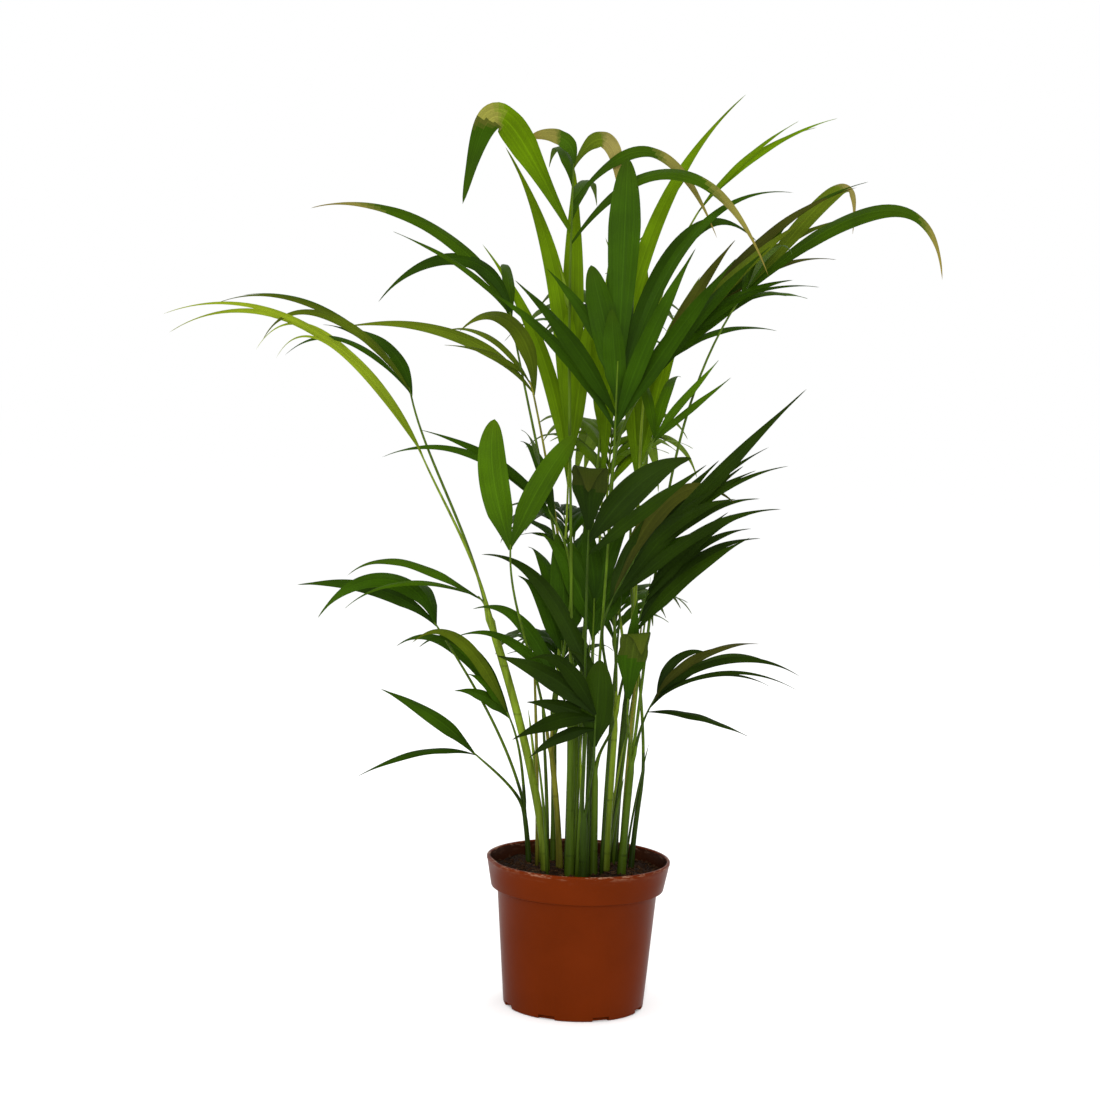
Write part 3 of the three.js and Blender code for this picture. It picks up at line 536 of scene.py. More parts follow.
# Clearance: a stalk or leaflet that meets another limb's solid is bowed or nudged aside
clearance = {"bows": (5, 10, 16, 24), "bearings": (0, 180, 90, 270, 45, 225, 135, 315),
             "nudges": (0, 5, -5, 10, -10, 16, -16), "room": 0.6}
placed = []


def solidTree(points, faces):
    low, high = np.min(points, axis=0), np.max(points, axis=0)
    return BVHTree.FromPolygons([tuple(p) for p in points], faces), low, high


def limbTree(path, across, thickAt, sides):
    rings = limbRings(path, across, thickAt, sides)
    faces = ringFaces(len(rings), sides)
    last = (len(rings) - 1) * sides
    faces += [tuple(range(sides)), tuple(range(last, last + sides))]
    return solidTree([p for ring in rings for p in ring], faces)


def bladeTree(root, spec, outlook, extra):
    steps = min(max(int(abs(spec["lift"] - spec["end"]) / 32 + 0.5) + 2, 4), 6)
    curve = leafCurve(root, spec)
    face = leafFace(spec, outlook)
    marks = [onCurve(curve, i / 60)[0] for i in range(61)]
    long = sum(np.linalg.norm(b - a) for a, b in zip(marks, marks[1:]))
    thick = max(growth["leastThickness"], long * growth["leafThickness"]) + extra
    points = []
    for i in range(steps + 1):
        place, ahead = onCurve(curve, i / steps)
        side = unit(np.cross(ahead, face))
        down = unit(np.cross(ahead, side))
        half = spec["wide"] / 2 * leafOutline(i / steps, spec["blunt"]) + extra / 2
        keep = 0 if i == steps else 1
        for u, v in ((0, 1), (1, -0.5), (-1, -0.5)):
            deep = thick * (v + 0.5) / 1.5 - thick / 3
            points.append(place + side * keep * u * half + down * keep * deep)
    return solidTree(points, ringFaces(steps + 1, 3) + [(0, 1, 2)])


def touches(solid, owner):
    tree, low, high = solid
    for other, (otherTree, otherLow, otherHigh) in placed:
        near = np.all(low <= otherHigh) and np.all(otherLow <= high)
        if other != owner and near and tree.overlap(otherTree):
            return True
    return False


def canePath(cane, steps):
    low = np.array([*cane["foot"], growth["soilTop"] + growth["gap"]], float)
    high = np.array(cane["top"], float)
    path = []
    for i in range(steps + 1):
        share = i / steps
        place = low + (high - low) * np.array([share ** 1.4, share ** 1.4, share])
        path.append((place, np.array([0, 0, 1.0])))
    return path


def caneThick(cane):
    low, high = cane["wide"]
    return lambda s: (low + (high - low) * s) * (1 + 0.18 * max(0, 1 - s * 4))


def stalkThick(s):
    foot, neck, tip = growth["petioleFoot"], growth["petioleNeck"], growth["ribTip"]
    return foot - (foot - neck) * s / 0.55 if s < 0.55 else neck - (neck - tip) * (s - 0.55) / 0.45


def stalkCurve(frond, bow):
    heading, lift = frond["rib"][:2]
    foot, neck = frond["foot"], np.array(frond["neck"], float)
    tall = neck[2] - foot[2]
    low = foot + (neck - foot) * 0.2
    low[2] = foot[2] + tall * 0.38
    return [foot, low + bow, neck - along(heading, lift) * tall * 0.3 + bow, neck]


def stalkPath(frond, bow, fine=1):
    curve = stalkCurve(frond, bow)
    steps = 5 * fine
    path = [onCurve(curve, i / steps) for i in range(steps)]
    path[0] = (path[0][0], np.array([0, 0, 1.0]))
    long = frond["rib"][3]
    ribSteps = 4 if long > 80 else 2 if long > 20 else 1
    return path + ribPath(frond, ribSteps * fine)


def pointOnRib(frond, share):
    return ribPath(frond, 20)[int(share * 20 + 0.5)][0]


palm = {}
for name, frond in fronds.items():
    swings = (-growth["splay"], growth["splay"])
    leaves = [splayed(spec, swings[i % 2]) for i, spec in enumerate(frond["leaves"])]
    palm[name] = {**frond, "leaves": leaves, "outlook": 270}
for i, (name, frond) in enumerate(paired.items()):
    palm[name] = {**frond, "leaves": pairedLeaves(frond, 11 + i), "outlook": frond["rib"][0]}


def footOf(name):
    cane = palm[name]["cane"]
    top = canes[cane]["top"]

    def bearing(other):
        neck = palm[other]["neck"]
        return math.atan2(neck[1] - top[1], neck[0] - top[0])

    sharers = sorted((n for n in palm if palm[n]["cane"] == cane), key=bearing)
    spot = np.array([top[0], top[1], top[2] + growth["gap"]], float)
    if len(sharers) == 1:
        return spot
    share = 2 * math.pi / len(sharers)
    turns = [bearing(n) - share * i for i, n in enumerate(sharers)]
    angle = math.atan2(sum(map(math.sin, turns)), sum(map(math.cos, turns))) + share * sharers.index(name)
    offset = (growth["petioleFoot"] / 2 + growth["gap"]) / math.sin(share / 2)
    return spot + np.array([math.cos(angle), math.sin(angle), 0]) * offset


for name, cane in canes.items():
    placed.append((name, limbTree(canePath(cane, 4), np.array([0, 1.0, 0]), caneThick(cane), 8)))
bows = [(0, 0)] + [(bearing, size) for size in clearance["bows"] for bearing in clearance["bearings"]]
for name, frond in palm.items():
    frond["foot"] = footOf(name)
    heading = frond["rib"][0]
    frond["across"] = along(heading + 90, 0)
    for bearing, size in bows:
        bow = along(heading + 90 + bearing, 0) * size
        solid = limbTree(stalkPath(frond, bow), frond["across"], stalkThick, 4)
        if not touches(solid, name):
            frond["bow"] = bow
            placed.append((name, solid))
            break


def placeLeaflet(name, frond, spec):
    root = pointOnRib(frond, spec["at"])
    for nudge in clearance["nudges"]:
        turned = {**spec, "heading": spec["heading"] + nudge}
        if not touches(bladeTree(root, turned, frond["outlook"], clearance["room"]), name):
            spec.update(heading=turned["heading"], root=root)
            placed.append((name, bladeTree(root, spec, frond["outlook"], 0)))
            return


for name, frond in palm.items():
    for spec in frond["leaves"]:
        placeLeaflet(name, frond, spec)

# Finer leaflets between the main ones, where the crown is dense
between = {
    "middle": [
        leaf(0.1, 350, 60, 84, 62, 30, 20, turn=65), leaf(0.25, 190, 52, 88, 66, 34, 20, turn=65),
        leaf(0.6, 186, 30, 70, 80, 50, 18), leaf(0.9, 8, 40, 90, 76, 40, 18),
        leaf(0.4, 84, 80, 70, 64, -10, 17, turn=20), leaf(0.8, 116, 70, 60, 62, -10, 16, turn=20),
    ],
    "centre_left": [
        leaf(0.5, 350, 40, 96, 74, 50, 18, turn=70), leaf(0.3, 188, 44, 70, 66, 20, 17),
        leaf(0.8, 110, 70, 84, 68, 0, 16, turn=20),
    ],
    "deep_right": [
        leaf(0.2, 350, 84, 100, 60, 34, 17), leaf(0.7, 8, 88, 84, 54, 16, 14),
        leaf(0.9, 354, 96, 60, 50, 4, 12),
    ],
    "inner_left": [leaf(0.5, 186, 56, 30, 46, -14, 14), leaf(0.8, 176, 40, 52, 70, 16, 13)],
    "right_low": [leaf(0.6, 356, 112, 10, 40, -30, 5), leaf(0.4, 350, 124, 30, 50, -26, 5)],
    "right_fan": [
        leaf(0.15, 8, 96, 124, 62, 42, 20), leaf(0.75, 352, 84, 62, 50, 10, 18),
        leaf(0.45, 356, 124, 74, 48, 0, 14), leaf(0.8, 4, 100, 84, 52, 24, 14),
    ],
    "right_dark": [
        leaf(0.35, 352, 96, 70, 50, 20, 16), leaf(0.6, 6, 100, 60, 46, 6, 14),
        leaf(0.85, 352, 90, 30, 40, -10, 12),
        leaf(0.5, 354, 150, 150, 58, 16, 13, tone="bronze"), leaf(0.8, 2, 158, 112, 52, 12, 11, tone="olive"),
        leaf(0.95, 356, 140, 120, 56, 14, 10), leaf(0.7, 8, 150, 80, 48, -4, 9, tone="bronze"),
    ],
    "fan": [
        leaf(0.4, 80, 90, 96, 66, 0, 18, turn=20), leaf(0.9, 100, 70, 84, 66, -10, 16, turn=20),
    ],
    "tall": [leaf(0.3, 76, 96, 20, 60, -60, 14, turn=20), leaf(0.7, 106, 80, 24, 66, -60, 13, turn=20)],
    "right": [leaf(0.4, 70, 90, 40, 56, -40, 13, turn=20), leaf(0.8, 300, 70, 30, 56, -50, 12, turn=20)],
    "back_left": [
        leaf(0.3, 352, 20, 170, 84, 80, 16, turn=80), leaf(0.5, 96, 84, 150, 74, 10, 17, turn=20),
        leaf(0.8, 70, 96, 96, 62, -10, 15, turn=20), leaf(0.6, 250, 50, 170, 80, 30, 14, turn=20),
    ],
    "back_tall": [
        leaf(0.2, 188, 30, 190, 84, 70, 17, turn=75), leaf(0.6, 350, 50, 180, 78, 64, 15, turn=75),
        leaf(0.4, 82, 90, 160, 74, 10, 16, turn=20), leaf(0.8, 110, 80, 120, 70, 0, 15, turn=20),
        leaf(0.7, 280, 50, 170, 80, 30, 14, turn=20),
    ],
    "back_right": [
        leaf(0.4, 186, 20, 160, 86, 80, 15, turn=75), leaf(0.7, 2, 70, 170, 74, 60, 14, turn=75),
        leaf(0.6, 60, 80, 200, 78, 20, 16, turn=20), leaf(0.9, 96, 90, 140, 70, 0, 15, turn=20),
    ],
    "mid_left": [leaf(0.3, 120, 70, 70, 62, 0, 12, turn=20), leaf(0.8, 240, 50, 70, 70, 10, 11, turn=20)],
    "far_left": [
        leaf(0.5, 120, 70, 40, 56, -20, 9, turn=20), leaf(0.6, 186, 186, 74, 56, -24, 6, tone="olive"),
        leaf(0.3, 176, 132, 44, 62, -66, 9, tone="olive"), leaf(0.9, 182, 164, 82, 54, -10, 5, tone="mid"),
    ],
    "upper_left": [leaf(0.4, 100, 80, 50, 60, -20, 11, turn=20)],
    "slim_right": [leaf(0.5, 70, 80, 60, 60, -10, 11, turn=20), leaf(0.9, 100, 60, 60, 64, 0, 10, turn=20)],
    "left": [leaf(0.5, 110, 70, 30, 50, -20, 12, turn=20)],
    "left_low": [leaf(0.9, 184, 86, 68, 66, -44, 12, tone="olive"), leaf(0.2, 186, 52, 24, 50, -8, 12)],
}
# The rear fronds take a second, shorter row, half a step further along the rib
secondRow = {"long": 0.72, "seed": 31, "ease": 24}
for i, (name, frond) in enumerate(paired.items()):
    rows = pairedLeaves({**frond, "long": frond["long"] * secondRow["long"]}, secondRow["seed"] + i)
    step = 0.5 / (frond["pairs"] - 1)
    between[name] = [{**row, "at": row["at"] + step, "end": row["end"] + secondRow["ease"]}
                     for row in rows[:-2]]
for name, rows in between.items():
    for i, row in enumerate(rows):
        spec = row if name in paired else splayed(row, growth["splay"] * (-1) ** i)
        placeLeaflet(name, palm[name], spec)
        palm[name]["leaves"].append(spec)
print("fronds placed, leaflets:", sum("root" in spec for frond in palm.values() for spec in frond["leaves"]))

# Light shows between the pointed leaflets of the widest fans
slimmer = {"fan": 0.8, "right_fan": 0.78, "deep_right": 0.8, "right_dark": 0.85, "front_low": 0.85,
           "right_low": 0.88}
for name, share in slimmer.items():
    for spec in palm[name]["leaves"]:
        if spec["blunt"] == 0:
            spec["wide"] *= share


# Meshes are gathered as lists and made in one go
def newBatch():
    return {"points": [], "faces": [], "slots": [], "spots": []}


def addFaces(batch, points, faces, slots, spots):
    first = len(batch["points"])
    batch["points"] += [tuple(p) for p in points]
    batch["faces"] += [tuple(first + k for k in f) for f in faces]
    batch["slots"] += slots if isinstance(slots, list) else [slots] * len(faces)
    batch["spots"] += spots  # one UV for each point


def makePiece(name, batch, materials, smooth=True):
    mesh = bpy.data.meshes.new(name)
    mesh.from_pydata([tuple(c * mm for c in p) for p in batch["points"]], [], batch["faces"])
    used = sorted(set(batch["slots"]))
    for slot in used:
        mesh.materials.append(materials[slot])
    mesh.polygons.foreach_set("material_index", [used.index(s) for s in batch["slots"]])
    mesh.polygons.foreach_set("use_smooth", [smooth] * len(mesh.polygons))
    layer = mesh.uv_layers.new(name="place")
    spots = np.array(batch["spots"], float)
    corners = np.zeros(len(mesh.loops), int)
    mesh.loops.foreach_get("vertex_index", corners)
    layer.data.foreach_set("uv", spots[corners].ravel())
    mesh.validate()
    piece = bpy.data.objects.new(name, mesh)
    bpy.context.scene.collection.objects.link(piece)
    return piece


# Leaflets: a folded blade with a keel, wavy margins and a slight twist, closed above and below.
# It is fuller than its solid, with nearly parallel sides.
# At its bend it narrows a little, and a painted highlight turns its colour paler there in short slanting
# steps.
blade = {"rows": 36, "columns": 6, "thick": 0.5, "full": 0.72, "fold": 0.3, "wave": 0.8, "waves": (1.6, 3.4),
         "twist": 12, "slant": 0.04, "soft": 0.035, "rootWide": 0.35, "pinch": 0.08, "pinchLong": 0.05}


def skinAt(spec, tone, step, t, u):
    # Past the share "over" the front steps through the paler bend skins, a painted highlight where the leaf
    # bends over; a folded leaf shows that painted highlight on its front.
    t -= blade["slant"] * u
    front = f"{tone}_upper{step}"
    if spec["folded"]:
        return f"{tone}_bend1", f"{tone}_bend1" if t > 0.7 * spec["over"] else front
    # past the share "until" the front steps down to the dark tone's upper skin, a painted shade on the
    # hanging part
    if t > spec["until"]:
        past = int((t - spec["until"]) / blade["soft"])
        front = f"dark_bend{2 - past}" if past < 2 else f"dark_upper{step}"
    elif t > spec["over"]:
        front = f"{tone}_bend{min(3, 1 + int((t - spec['over']) / blade['soft']))}"
    return front, f"{tone}_under{step}"


def addLeaflet(batch, spec, outlook, tone, chance):
    curve = leafCurve(spec["root"], spec)
    face = leafFace(spec, outlook)
    rows, columns = blade["rows"], blade["columns"]
    twist = math.radians(blade["twist"]) * chance.uniform(-1, 1)
    waves, phase = chance.uniform(*blade["waves"]), chance.uniform(0, 6.28)
    step = chance.choice((0, 1, 1, 2))
    keel = blade["fold"] * (0.3 if spec["folded"] else 1)
    upper, lower, spots, skins = [], [], [], []
    for i in range(rows):
        t = 1 - (1 - i / rows) ** 1.12
        place, ahead = onCurve(curve, t)
        side = unit(np.cross(ahead, face))
        up = unit(np.cross(side, ahead))
        angle = twist * t * t
        turn, lean = math.cos(angle), math.sin(angle)
        side, up = side * turn + up * lean, up * turn - side * lean
        outline = leafOutline(t, spec["blunt"]) ** blade["full"]
        slim = min(1, blade["rootWide"] + (1 - blade["rootWide"]) * t / spec["slim"])
        half = spec["wide"] / 2 * outline * slim
        half *= 1 - blade["pinch"] * math.exp(-((t - spec["over"]) / blade["pinchLong"]) ** 2)
        fold = keel * (1 - 0.5 * t) * math.tanh((spec["over"] - t) / 0.09)
        for j in range(columns + 1):
            u = 2 * j / columns - 1
            swing = math.sin(waves * 6.28 * t + phase + (1.7 if u < 0 else 0))
            ripple = blade["wave"] * u * u * swing * min(1, half / 6)
            lift = fold * half * (0.5 - abs(u)) + ripple
            point = place + side * u * half + up * lift
            upper.append(point)
            lower.append(point - up * blade["thick"] * (1 - abs(u)))
            spots.append((j / columns, t))
            skins.append(skinAt(spec, tone, step, t, u + 1 / columns))
    tip = onCurve(curve, 1)[0]
    wide = columns + 1
    tipPoint = len(upper)
    front, back, slots = [], [], []
    for i in range(rows - 1):
        for j in range(columns):
            a, b = i * wide + j, i * wide + j + 1
            front.append((a, b, b + wide, a + wide))
            back.append(tuple(k + tipPoint + 1 for k in (a, a + wide, b + wide, b)))
            slots.append(skins[a])
    last = (rows - 1) * wide
    for j in range(columns):
        front.append((last + j, last + j + 1, tipPoint))
        back.append((tipPoint + 1 + last + j, tipPoint, tipPoint + 2 + last + j))
        slots.append(skins[last + j])
    foot = [(j, tipPoint + 1 + j, tipPoint + 2 + j, j + 1) for j in range(columns)]
    slots = [s[0] for s in slots] + [s[1] for s in slots] + [skins[0][1]] * columns
    addFaces(batch, upper + [tip] + lower, front + back + foot, slots, spots + [(0.5, 1)] + spots)


def addLimb(batch, path, across, thickAt, sides, slot):
    rings = limbRings(path, across, thickAt, sides)
    points = [p for ring in rings for p in ring]
    last = (len(rings) - 1) * sides
    faces = ringFaces(len(rings), sides) + [tuple(reversed(range(sides))), tuple(range(last, last + sides))]
    spots = [(j / sides, i / len(rings)) for i in range(len(rings)) for j in range(sides)]
    addFaces(batch, points, faces, slot, spots)


def selectOnly(piece):
    bpy.ops.object.select_all(action="DESELECT")
    piece.select_set(True)
    bpy.context.view_layer.objects.active = piece


def recalculate(piece):
    selectOnly(piece)
    bpy.ops.object.mode_set(mode="EDIT")
    bpy.ops.mesh.select_all(action="SELECT")
    bpy.ops.mesh.remove_doubles(threshold=1e-7)
    bpy.ops.mesh.normals_make_consistent(inside=False)
    bpy.ops.object.mode_set(mode="OBJECT")


# Stalks grow out of their cane: a sheath wraps each foot and tapers up into the stalk
sheath = {"below": 34, "above": 52, "share": 0.86, "steps": 8}


def sheathPath(frond):
    cane = canes[frond["cane"]]
    top, steps = cane["top"][2], sheath["steps"]
    low = [p for p in canePath(cane, 60) if top - sheath["below"] <= p[0][2] < top - 4]
    stalk = stalkCurve(frond, frond["bow"])
    long = frond["neck"][2] - frond["foot"][2]
    reach = 0.33 * min(sheath["above"], long * 0.6) / long
    high = [onCurve(stalk, reach * k / steps) for k in range(1, steps + 1)]
    shift = frond["foot"] - np.array(cane["top"], float)
    shift[2] = 0
    path = []
    for k, (place, ahead) in enumerate(low):
        path.append((place + shift * 0.5 * (k / len(low)) ** 2, ahead))
    return path + high


def sheathThick(frond):
    wide = canes[frond["cane"]]["wide"][1] * sheath["share"]
    slim = growth["petioleFoot"] * 1.02
    return lambda s: slim + (wide - slim) * (1 - min(1, s / 0.94)) ** 0.85


stalkToneFor = {"fresh": "bright", "lime": "bright", "olive": "yellow", "deep": "shaded"}
stalkMesh = {"fine": 5, "sides": 10, "sheathSides": 12}
chance = random.Random(7)
for name, frond in palm.items():
    batch = newBatch()
    for spec in frond["leaves"]:
        if "root" in spec:
            addLeaflet(batch, spec, frond["outlook"], spec["tone"] or frond["tone"], chance)
    leafPiece = makePiece("leaves_" + name, batch, leafMaterials)
    recalculate(leafPiece)
    bpy.ops.object.shade_smooth_by_angle(angle=math.radians(55))
    stalk = newBatch()
    path = stalkPath(frond, frond["bow"], fine=stalkMesh["fine"])
    tone = stalkToneFor.get(frond["tone"], "green")
    addLimb(stalk, path, frond["across"], stalkThick, stalkMesh["sides"], tone)
    tone = canes[frond["cane"]]["tone"]
    addLimb(stalk, sheathPath(frond), frond["across"], sheathThick(frond), stalkMesh["sheathSides"], tone)
    stalkPiece = makePiece("stalk_" + name, stalk, stalkMaterials)
    recalculate(stalkPiece)
    for piece in (leafPiece, stalkPiece):
        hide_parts("frond_" + name)
        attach(piece, "root")
print("fronds made")

# Canes: ringed by the scars of old sheaths
caneLook = {"sides": 16, "stepHigh": 2, "firstRing": (14, 26), "ringEvery": 58, "ringSpread": (0.7, 1.35),
            "clearTop": 20, "ringHigh": 1.6, "ringOut": 0.03, "scarHalf": 1.0, "taper": 16}


def makeCane(name, cane, chance):
    look = caneLook
    tall, sides = cane["top"][2] - growth["soilTop"], look["sides"]
    steps = int(tall / look["stepHigh"])
    thick = caneThick(cane)
    scars = []
    height = chance.uniform(*look["firstRing"])
    while height < tall - look["clearTop"]:
        scars.append(height)
        height += look["ringEvery"] * chance.uniform(*look["ringSpread"])

    def ringed(s):
        z = s * tall
        swell = sum(math.exp(-((z - h) / look["ringHigh"]) ** 2) for h in scars)
        narrow = min(1, 0.35 + 0.65 * math.sqrt(max(0, tall - z) / look["taper"]))
        return thick(s) * (1 + look["ringOut"] * swell) * narrow

    batch = newBatch()
    addLimb(batch, canePath(cane, steps), np.array([0, 1.0, 0]), ringed, sides, cane["tone"])
    for k in range(len(batch["faces"]) - 2):
        z = (k // sides + 0.5) * tall / steps
        if any(abs(z - h) < look["scarHalf"] for h in scars):
            batch["slots"][k] = cane["tone"] + "Scar"
    piece = makePiece(name.replace("cane", "stem"), batch, caneMaterials)
    recalculate(piece)
    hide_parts(name)
    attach(piece, "root")


for name, cane in canes.items():
    makeCane(name, cane, chance)
print("canes made")

# Young shoots: slim unopened spears and leaf stalks that stand between the canes
shootLook = {"tries": 160, "count": 24, "spread": 46, "thick": (2.2, 3.8), "high": (90, 360), "lean": 0.42,
             "stray": 6, "sides": 8, "tones": ("green", "green", "shaded", "bright", "yellow")}


def spotWithin(reach, chance):
    turn = chance.uniform(0, 2 * math.pi)
    out = reach * math.sqrt(chance.random())
    return out * math.cos(turn), out * math.sin(turn)


def makeShoots(chance):
    look = shootLook
    across = np.array([0, 1.0, 0])
    batch = newBatch()
    made = 0
    for _ in range(look["tries"]):
        x, y = spotWithin(look["spread"], chance)
        foot = np.array([x, y + 4, growth["soilTop"] - 3.0])
        tall = chance.uniform(*look["high"])
        wide = chance.uniform(*look["thick"])
        sideways = [foot[k] * look["lean"] + chance.uniform(-look["stray"], look["stray"]) for k in (0, 1)]
        lean = np.array([*sideways, tall]) * 0.9
        path = []
        for s in np.linspace(0, 1, 12):
            path.append((foot + lean * np.array([s ** 1.5, s ** 1.5, s]), unit(lean * np.array([s, s, 1]))))
        tone = chance.choice(look["tones"])
        if made == look["count"] or touches(limbTree(path, across, lambda s: wide + 1.2, 6), "shoots"):
            continue

        def thick(s):
            return wide * (1.1 - 0.35 * s) * math.sqrt(max(0.01, 1 - s ** 5))

        addLimb(batch, path, across, thick, look["sides"], tone)
        placed.append(("shoots", limbTree(path, across, lambda s: wide, 6)))
        made += 1
    piece = makePiece("young_shoots", batch, stalkMaterials)
    recalculate(piece)
    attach(piece, "root")
    print("shoots made:", made)


makeShoots(random.Random(23))

# Pot: turned from a ring by extruding and scaling, as on a lathe
potLook = {"high": 137, "rim": 85, "bandHigh": 27, "bandTaper": 5, "bandStep": 6, "base": 65, "wall": 2,
           "sides": 144, "notches": 8, "notchWide": 16, "notchTall": 4, "notchDeep": 5,
           "pressTurn": 196, "pressWide": 13, "pressHigh": 24, "pressDeep": 2.2, "smooth": 32}


def turnedPiece(name, profile, sides):
    bpy.ops.object.select_all(action="DESELECT")
    r0, z0 = profile[0]
    bpy.ops.mesh.primitive_circle_add(vertices=sides, radius=r0 * mm, fill_type="NGON",
                                      location=(0, 0, z0 * mm))
    piece = bpy.context.object
    piece.name = piece.data.name = name
    bpy.ops.object.transform_apply(location=True, rotation=True, scale=True)
    bpy.ops.object.mode_set(mode="EDIT")
    bpy.ops.mesh.select_mode(type="EDGE")
    bpy.ops.mesh.select_all(action="SELECT")
    bpy.ops.mesh.delete(type="ONLY_FACE")
    bpy.ops.mesh.select_all(action="SELECT")
    for r, z in profile[1:]:
        bpy.ops.mesh.extrude_region_move(TRANSFORM_OT_translate={"value": (0, 0, (z - z0) * mm)})
        bpy.ops.transform.resize(value=(r / r0, r / r0, 1), center_override=(0, 0, z * mm))
        r0, z0 = r, z
    bpy.ops.mesh.edge_face_add()
    bpy.ops.mesh.select_all(action="DESELECT")
    bpy.ops.object.mode_set(mode="OBJECT")
    r0, z0 = profile[0]
    for edge in piece.data.edges:
        ends = [piece.data.vertices[v].co for v in edge.vertices]
        edge.select = all(abs(c.z - z0 * mm) < 1e-6 and abs(c.xy.length - r0 * mm) < 1e-6 for c in ends)
    bpy.ops.object.mode_set(mode="EDIT")
    bpy.ops.mesh.edge_face_add()
    bpy.ops.mesh.select_all(action="SELECT")
    bpy.ops.mesh.normals_make_consistent(inside=False)
    bpy.ops.object.mode_set(mode="OBJECT")
    return piece


def applyModifier(piece, kind, **settings):
    selectOnly(piece)
    modifier = piece.modifiers.new(kind.lower(), kind)
    for key, value in settings.items():
        setattr(modifier, key, value)
    bpy.ops.object.modifier_apply(modifier=modifier.name)


def makePot():
    look = potLook
    high, rim, base, wall = (look[key] for key in ("high", "rim", "base", "wall"))
    band = rim - look["bandTaper"]
    bandFoot = high - look["bandHigh"]
    body = band - look["bandStep"]
    foot = [(base - 3, 0), (base - 1.2, 0.25), (base - 0.2, 0.9), (base, 1.6)]
    side = [(base + (body - base) * share, bandFoot * share) for share in (0.3, 0.6)]
    step = [(body, bandFoot - 0.6), (body + 0.4, bandFoot), (band - 1.2, bandFoot),
            (band - 0.3, bandFoot + 0.4), (band, bandFoot + 1.4), (band + 2.4, bandFoot + 13)]
    lip = [(rim - 0.5, high - 3.6), (rim, high - 2.8), (rim, high - 0.8), (rim - 0.5, high - 0.15),
           (rim - 1.1, high), (rim - wall - 0.1, high), (rim - wall - 0.7, high - 0.4),
           (rim - wall - 1, high - 1.2)]
    inside = [(band - wall, bandFoot + wall + 1.5), (body - wall, bandFoot - 1), (base - wall, wall + 1.5),
              (base - wall - 2, wall)]
    pot = turnedPiece("nursery_pot", foot + side + step + lip + inside, look["sides"])
    bpy.ops.object.select_all(action="DESELECT")
    cutters = []
    cutterSize = (look["notchWide"] * mm, look["notchDeep"] * 2 * mm, look["notchTall"] * 2 * mm)
    for i in range(look["notches"]):
        turn = math.radians(360 / look["notches"] * (i + 0.5))
        place = (base * mm * math.sin(turn), -base * mm * math.cos(turn), 0)
        bpy.ops.mesh.primitive_cube_add(size=1, location=place, rotation=(0, 0, turn), scale=cutterSize)
        cutters.append(bpy.context.object)
    for cutter in cutters:
        cutter.select_set(True)
    bpy.ops.object.join()
    notches = bpy.context.object
    applyModifier(pot, "BOOLEAN", operation="DIFFERENCE", solver="EXACT", object=notches)
    bpy.data.objects.remove(notches)
    # the rim is pressed in a little at the left
    for vertex in pot.data.vertices:
        turn = math.degrees(math.atan2(vertex.co.y, vertex.co.x))
        away = min(abs(turn - look["pressTurn"]), abs(turn + (360 - look["pressTurn"]))) / look["pressWide"]
        height = max(0, (vertex.co.z / mm - high + look["pressHigh"]) / look["pressHigh"])
        press = look["pressDeep"] * mm * math.exp(-away * away) * height
        vertex.co.x -= vertex.co.x / max(vertex.co.xy.length, 1e-9) * press
        vertex.co.y -= vertex.co.y / max(vertex.co.xy.length, 1e-9) * press
    selectOnly(pot)
    bpy.ops.object.shade_smooth_by_angle(angle=math.radians(look["smooth"]))
    return pot


# the inside tone is a painted shade: a darker brown for the pot's inner wall
potPaint = {"tone": (115, 46, 12), "inside": (60, 32, 17), "clouds": 14, "dark": 0.88, "light": 1.1,
            "worn": (196, 150, 120), "wornShare": 0.7, "scuffs": 75, "scuffStretch": (1, 1, 5),
            "wornHeights": ((0.1325, (0, 0, 0)), (0.1355, (1, 1, 1))), "rough": 0.36,
            "roughRange": (0.3, 0.4), "specular": 0.025, "grain": 420, "grainDepth": 0.12,
            "grainHigh": 0.0005}


def potSurface(name, colour):
    look = potPaint
    material, tree, surface = newSurface(name, look["rough"], look["specular"])
    where = coordinates(tree)["Object"]
    cloud = noiseOn(tree, where, look["clouds"], 4)
    tint = rampOf(tree, cloud, (0.3, shade(colour, look["dark"])), (0.7, shade(colour, look["light"])))
    # rubbed, dusty marks gather along the rim
    scuff = noiseOn(tree, stretchedBy(tree, where, look["scuffStretch"]), look["scuffs"], 6, Roughness=0.7)
    scuffs = rampOf(tree, scuff, (0.52, grey(0)), (0.6, grey(1)))
    nearRim = rampOf(tree, partsOf(tree, where)["Z"], *look["wornHeights"])
    worn = mathOf(tree, "MULTIPLY", multiplied(tree, scuffs, nearRim), look["wornShare"])
    tree.links.new(blendColours(tree, worn, tint, onScreen(*look["worn"])), surface.inputs["Base Color"])
    rough = addNode(tree, "ShaderNodeMapRange", [("Value", cloud)])
    rough.inputs["To Min"].default_value, rough.inputs["To Max"].default_value = look["roughRange"]
    tree.links.new(rough.outputs["Result"], surface.inputs["Roughness"])
    bumpOn(tree, surface, noiseOn(tree, where, look["grain"], 3), look["grainDepth"], look["grainHigh"])
    return material


pot = makePot()
pot.data.materials.clear()
pot.data.materials.append(potSurface("brown_pot_plastic", onScreen(*potPaint["tone"])))
pot.data.materials.append(potSurface("pot_inside_painted_shade", onScreen(*potPaint["inside"])))
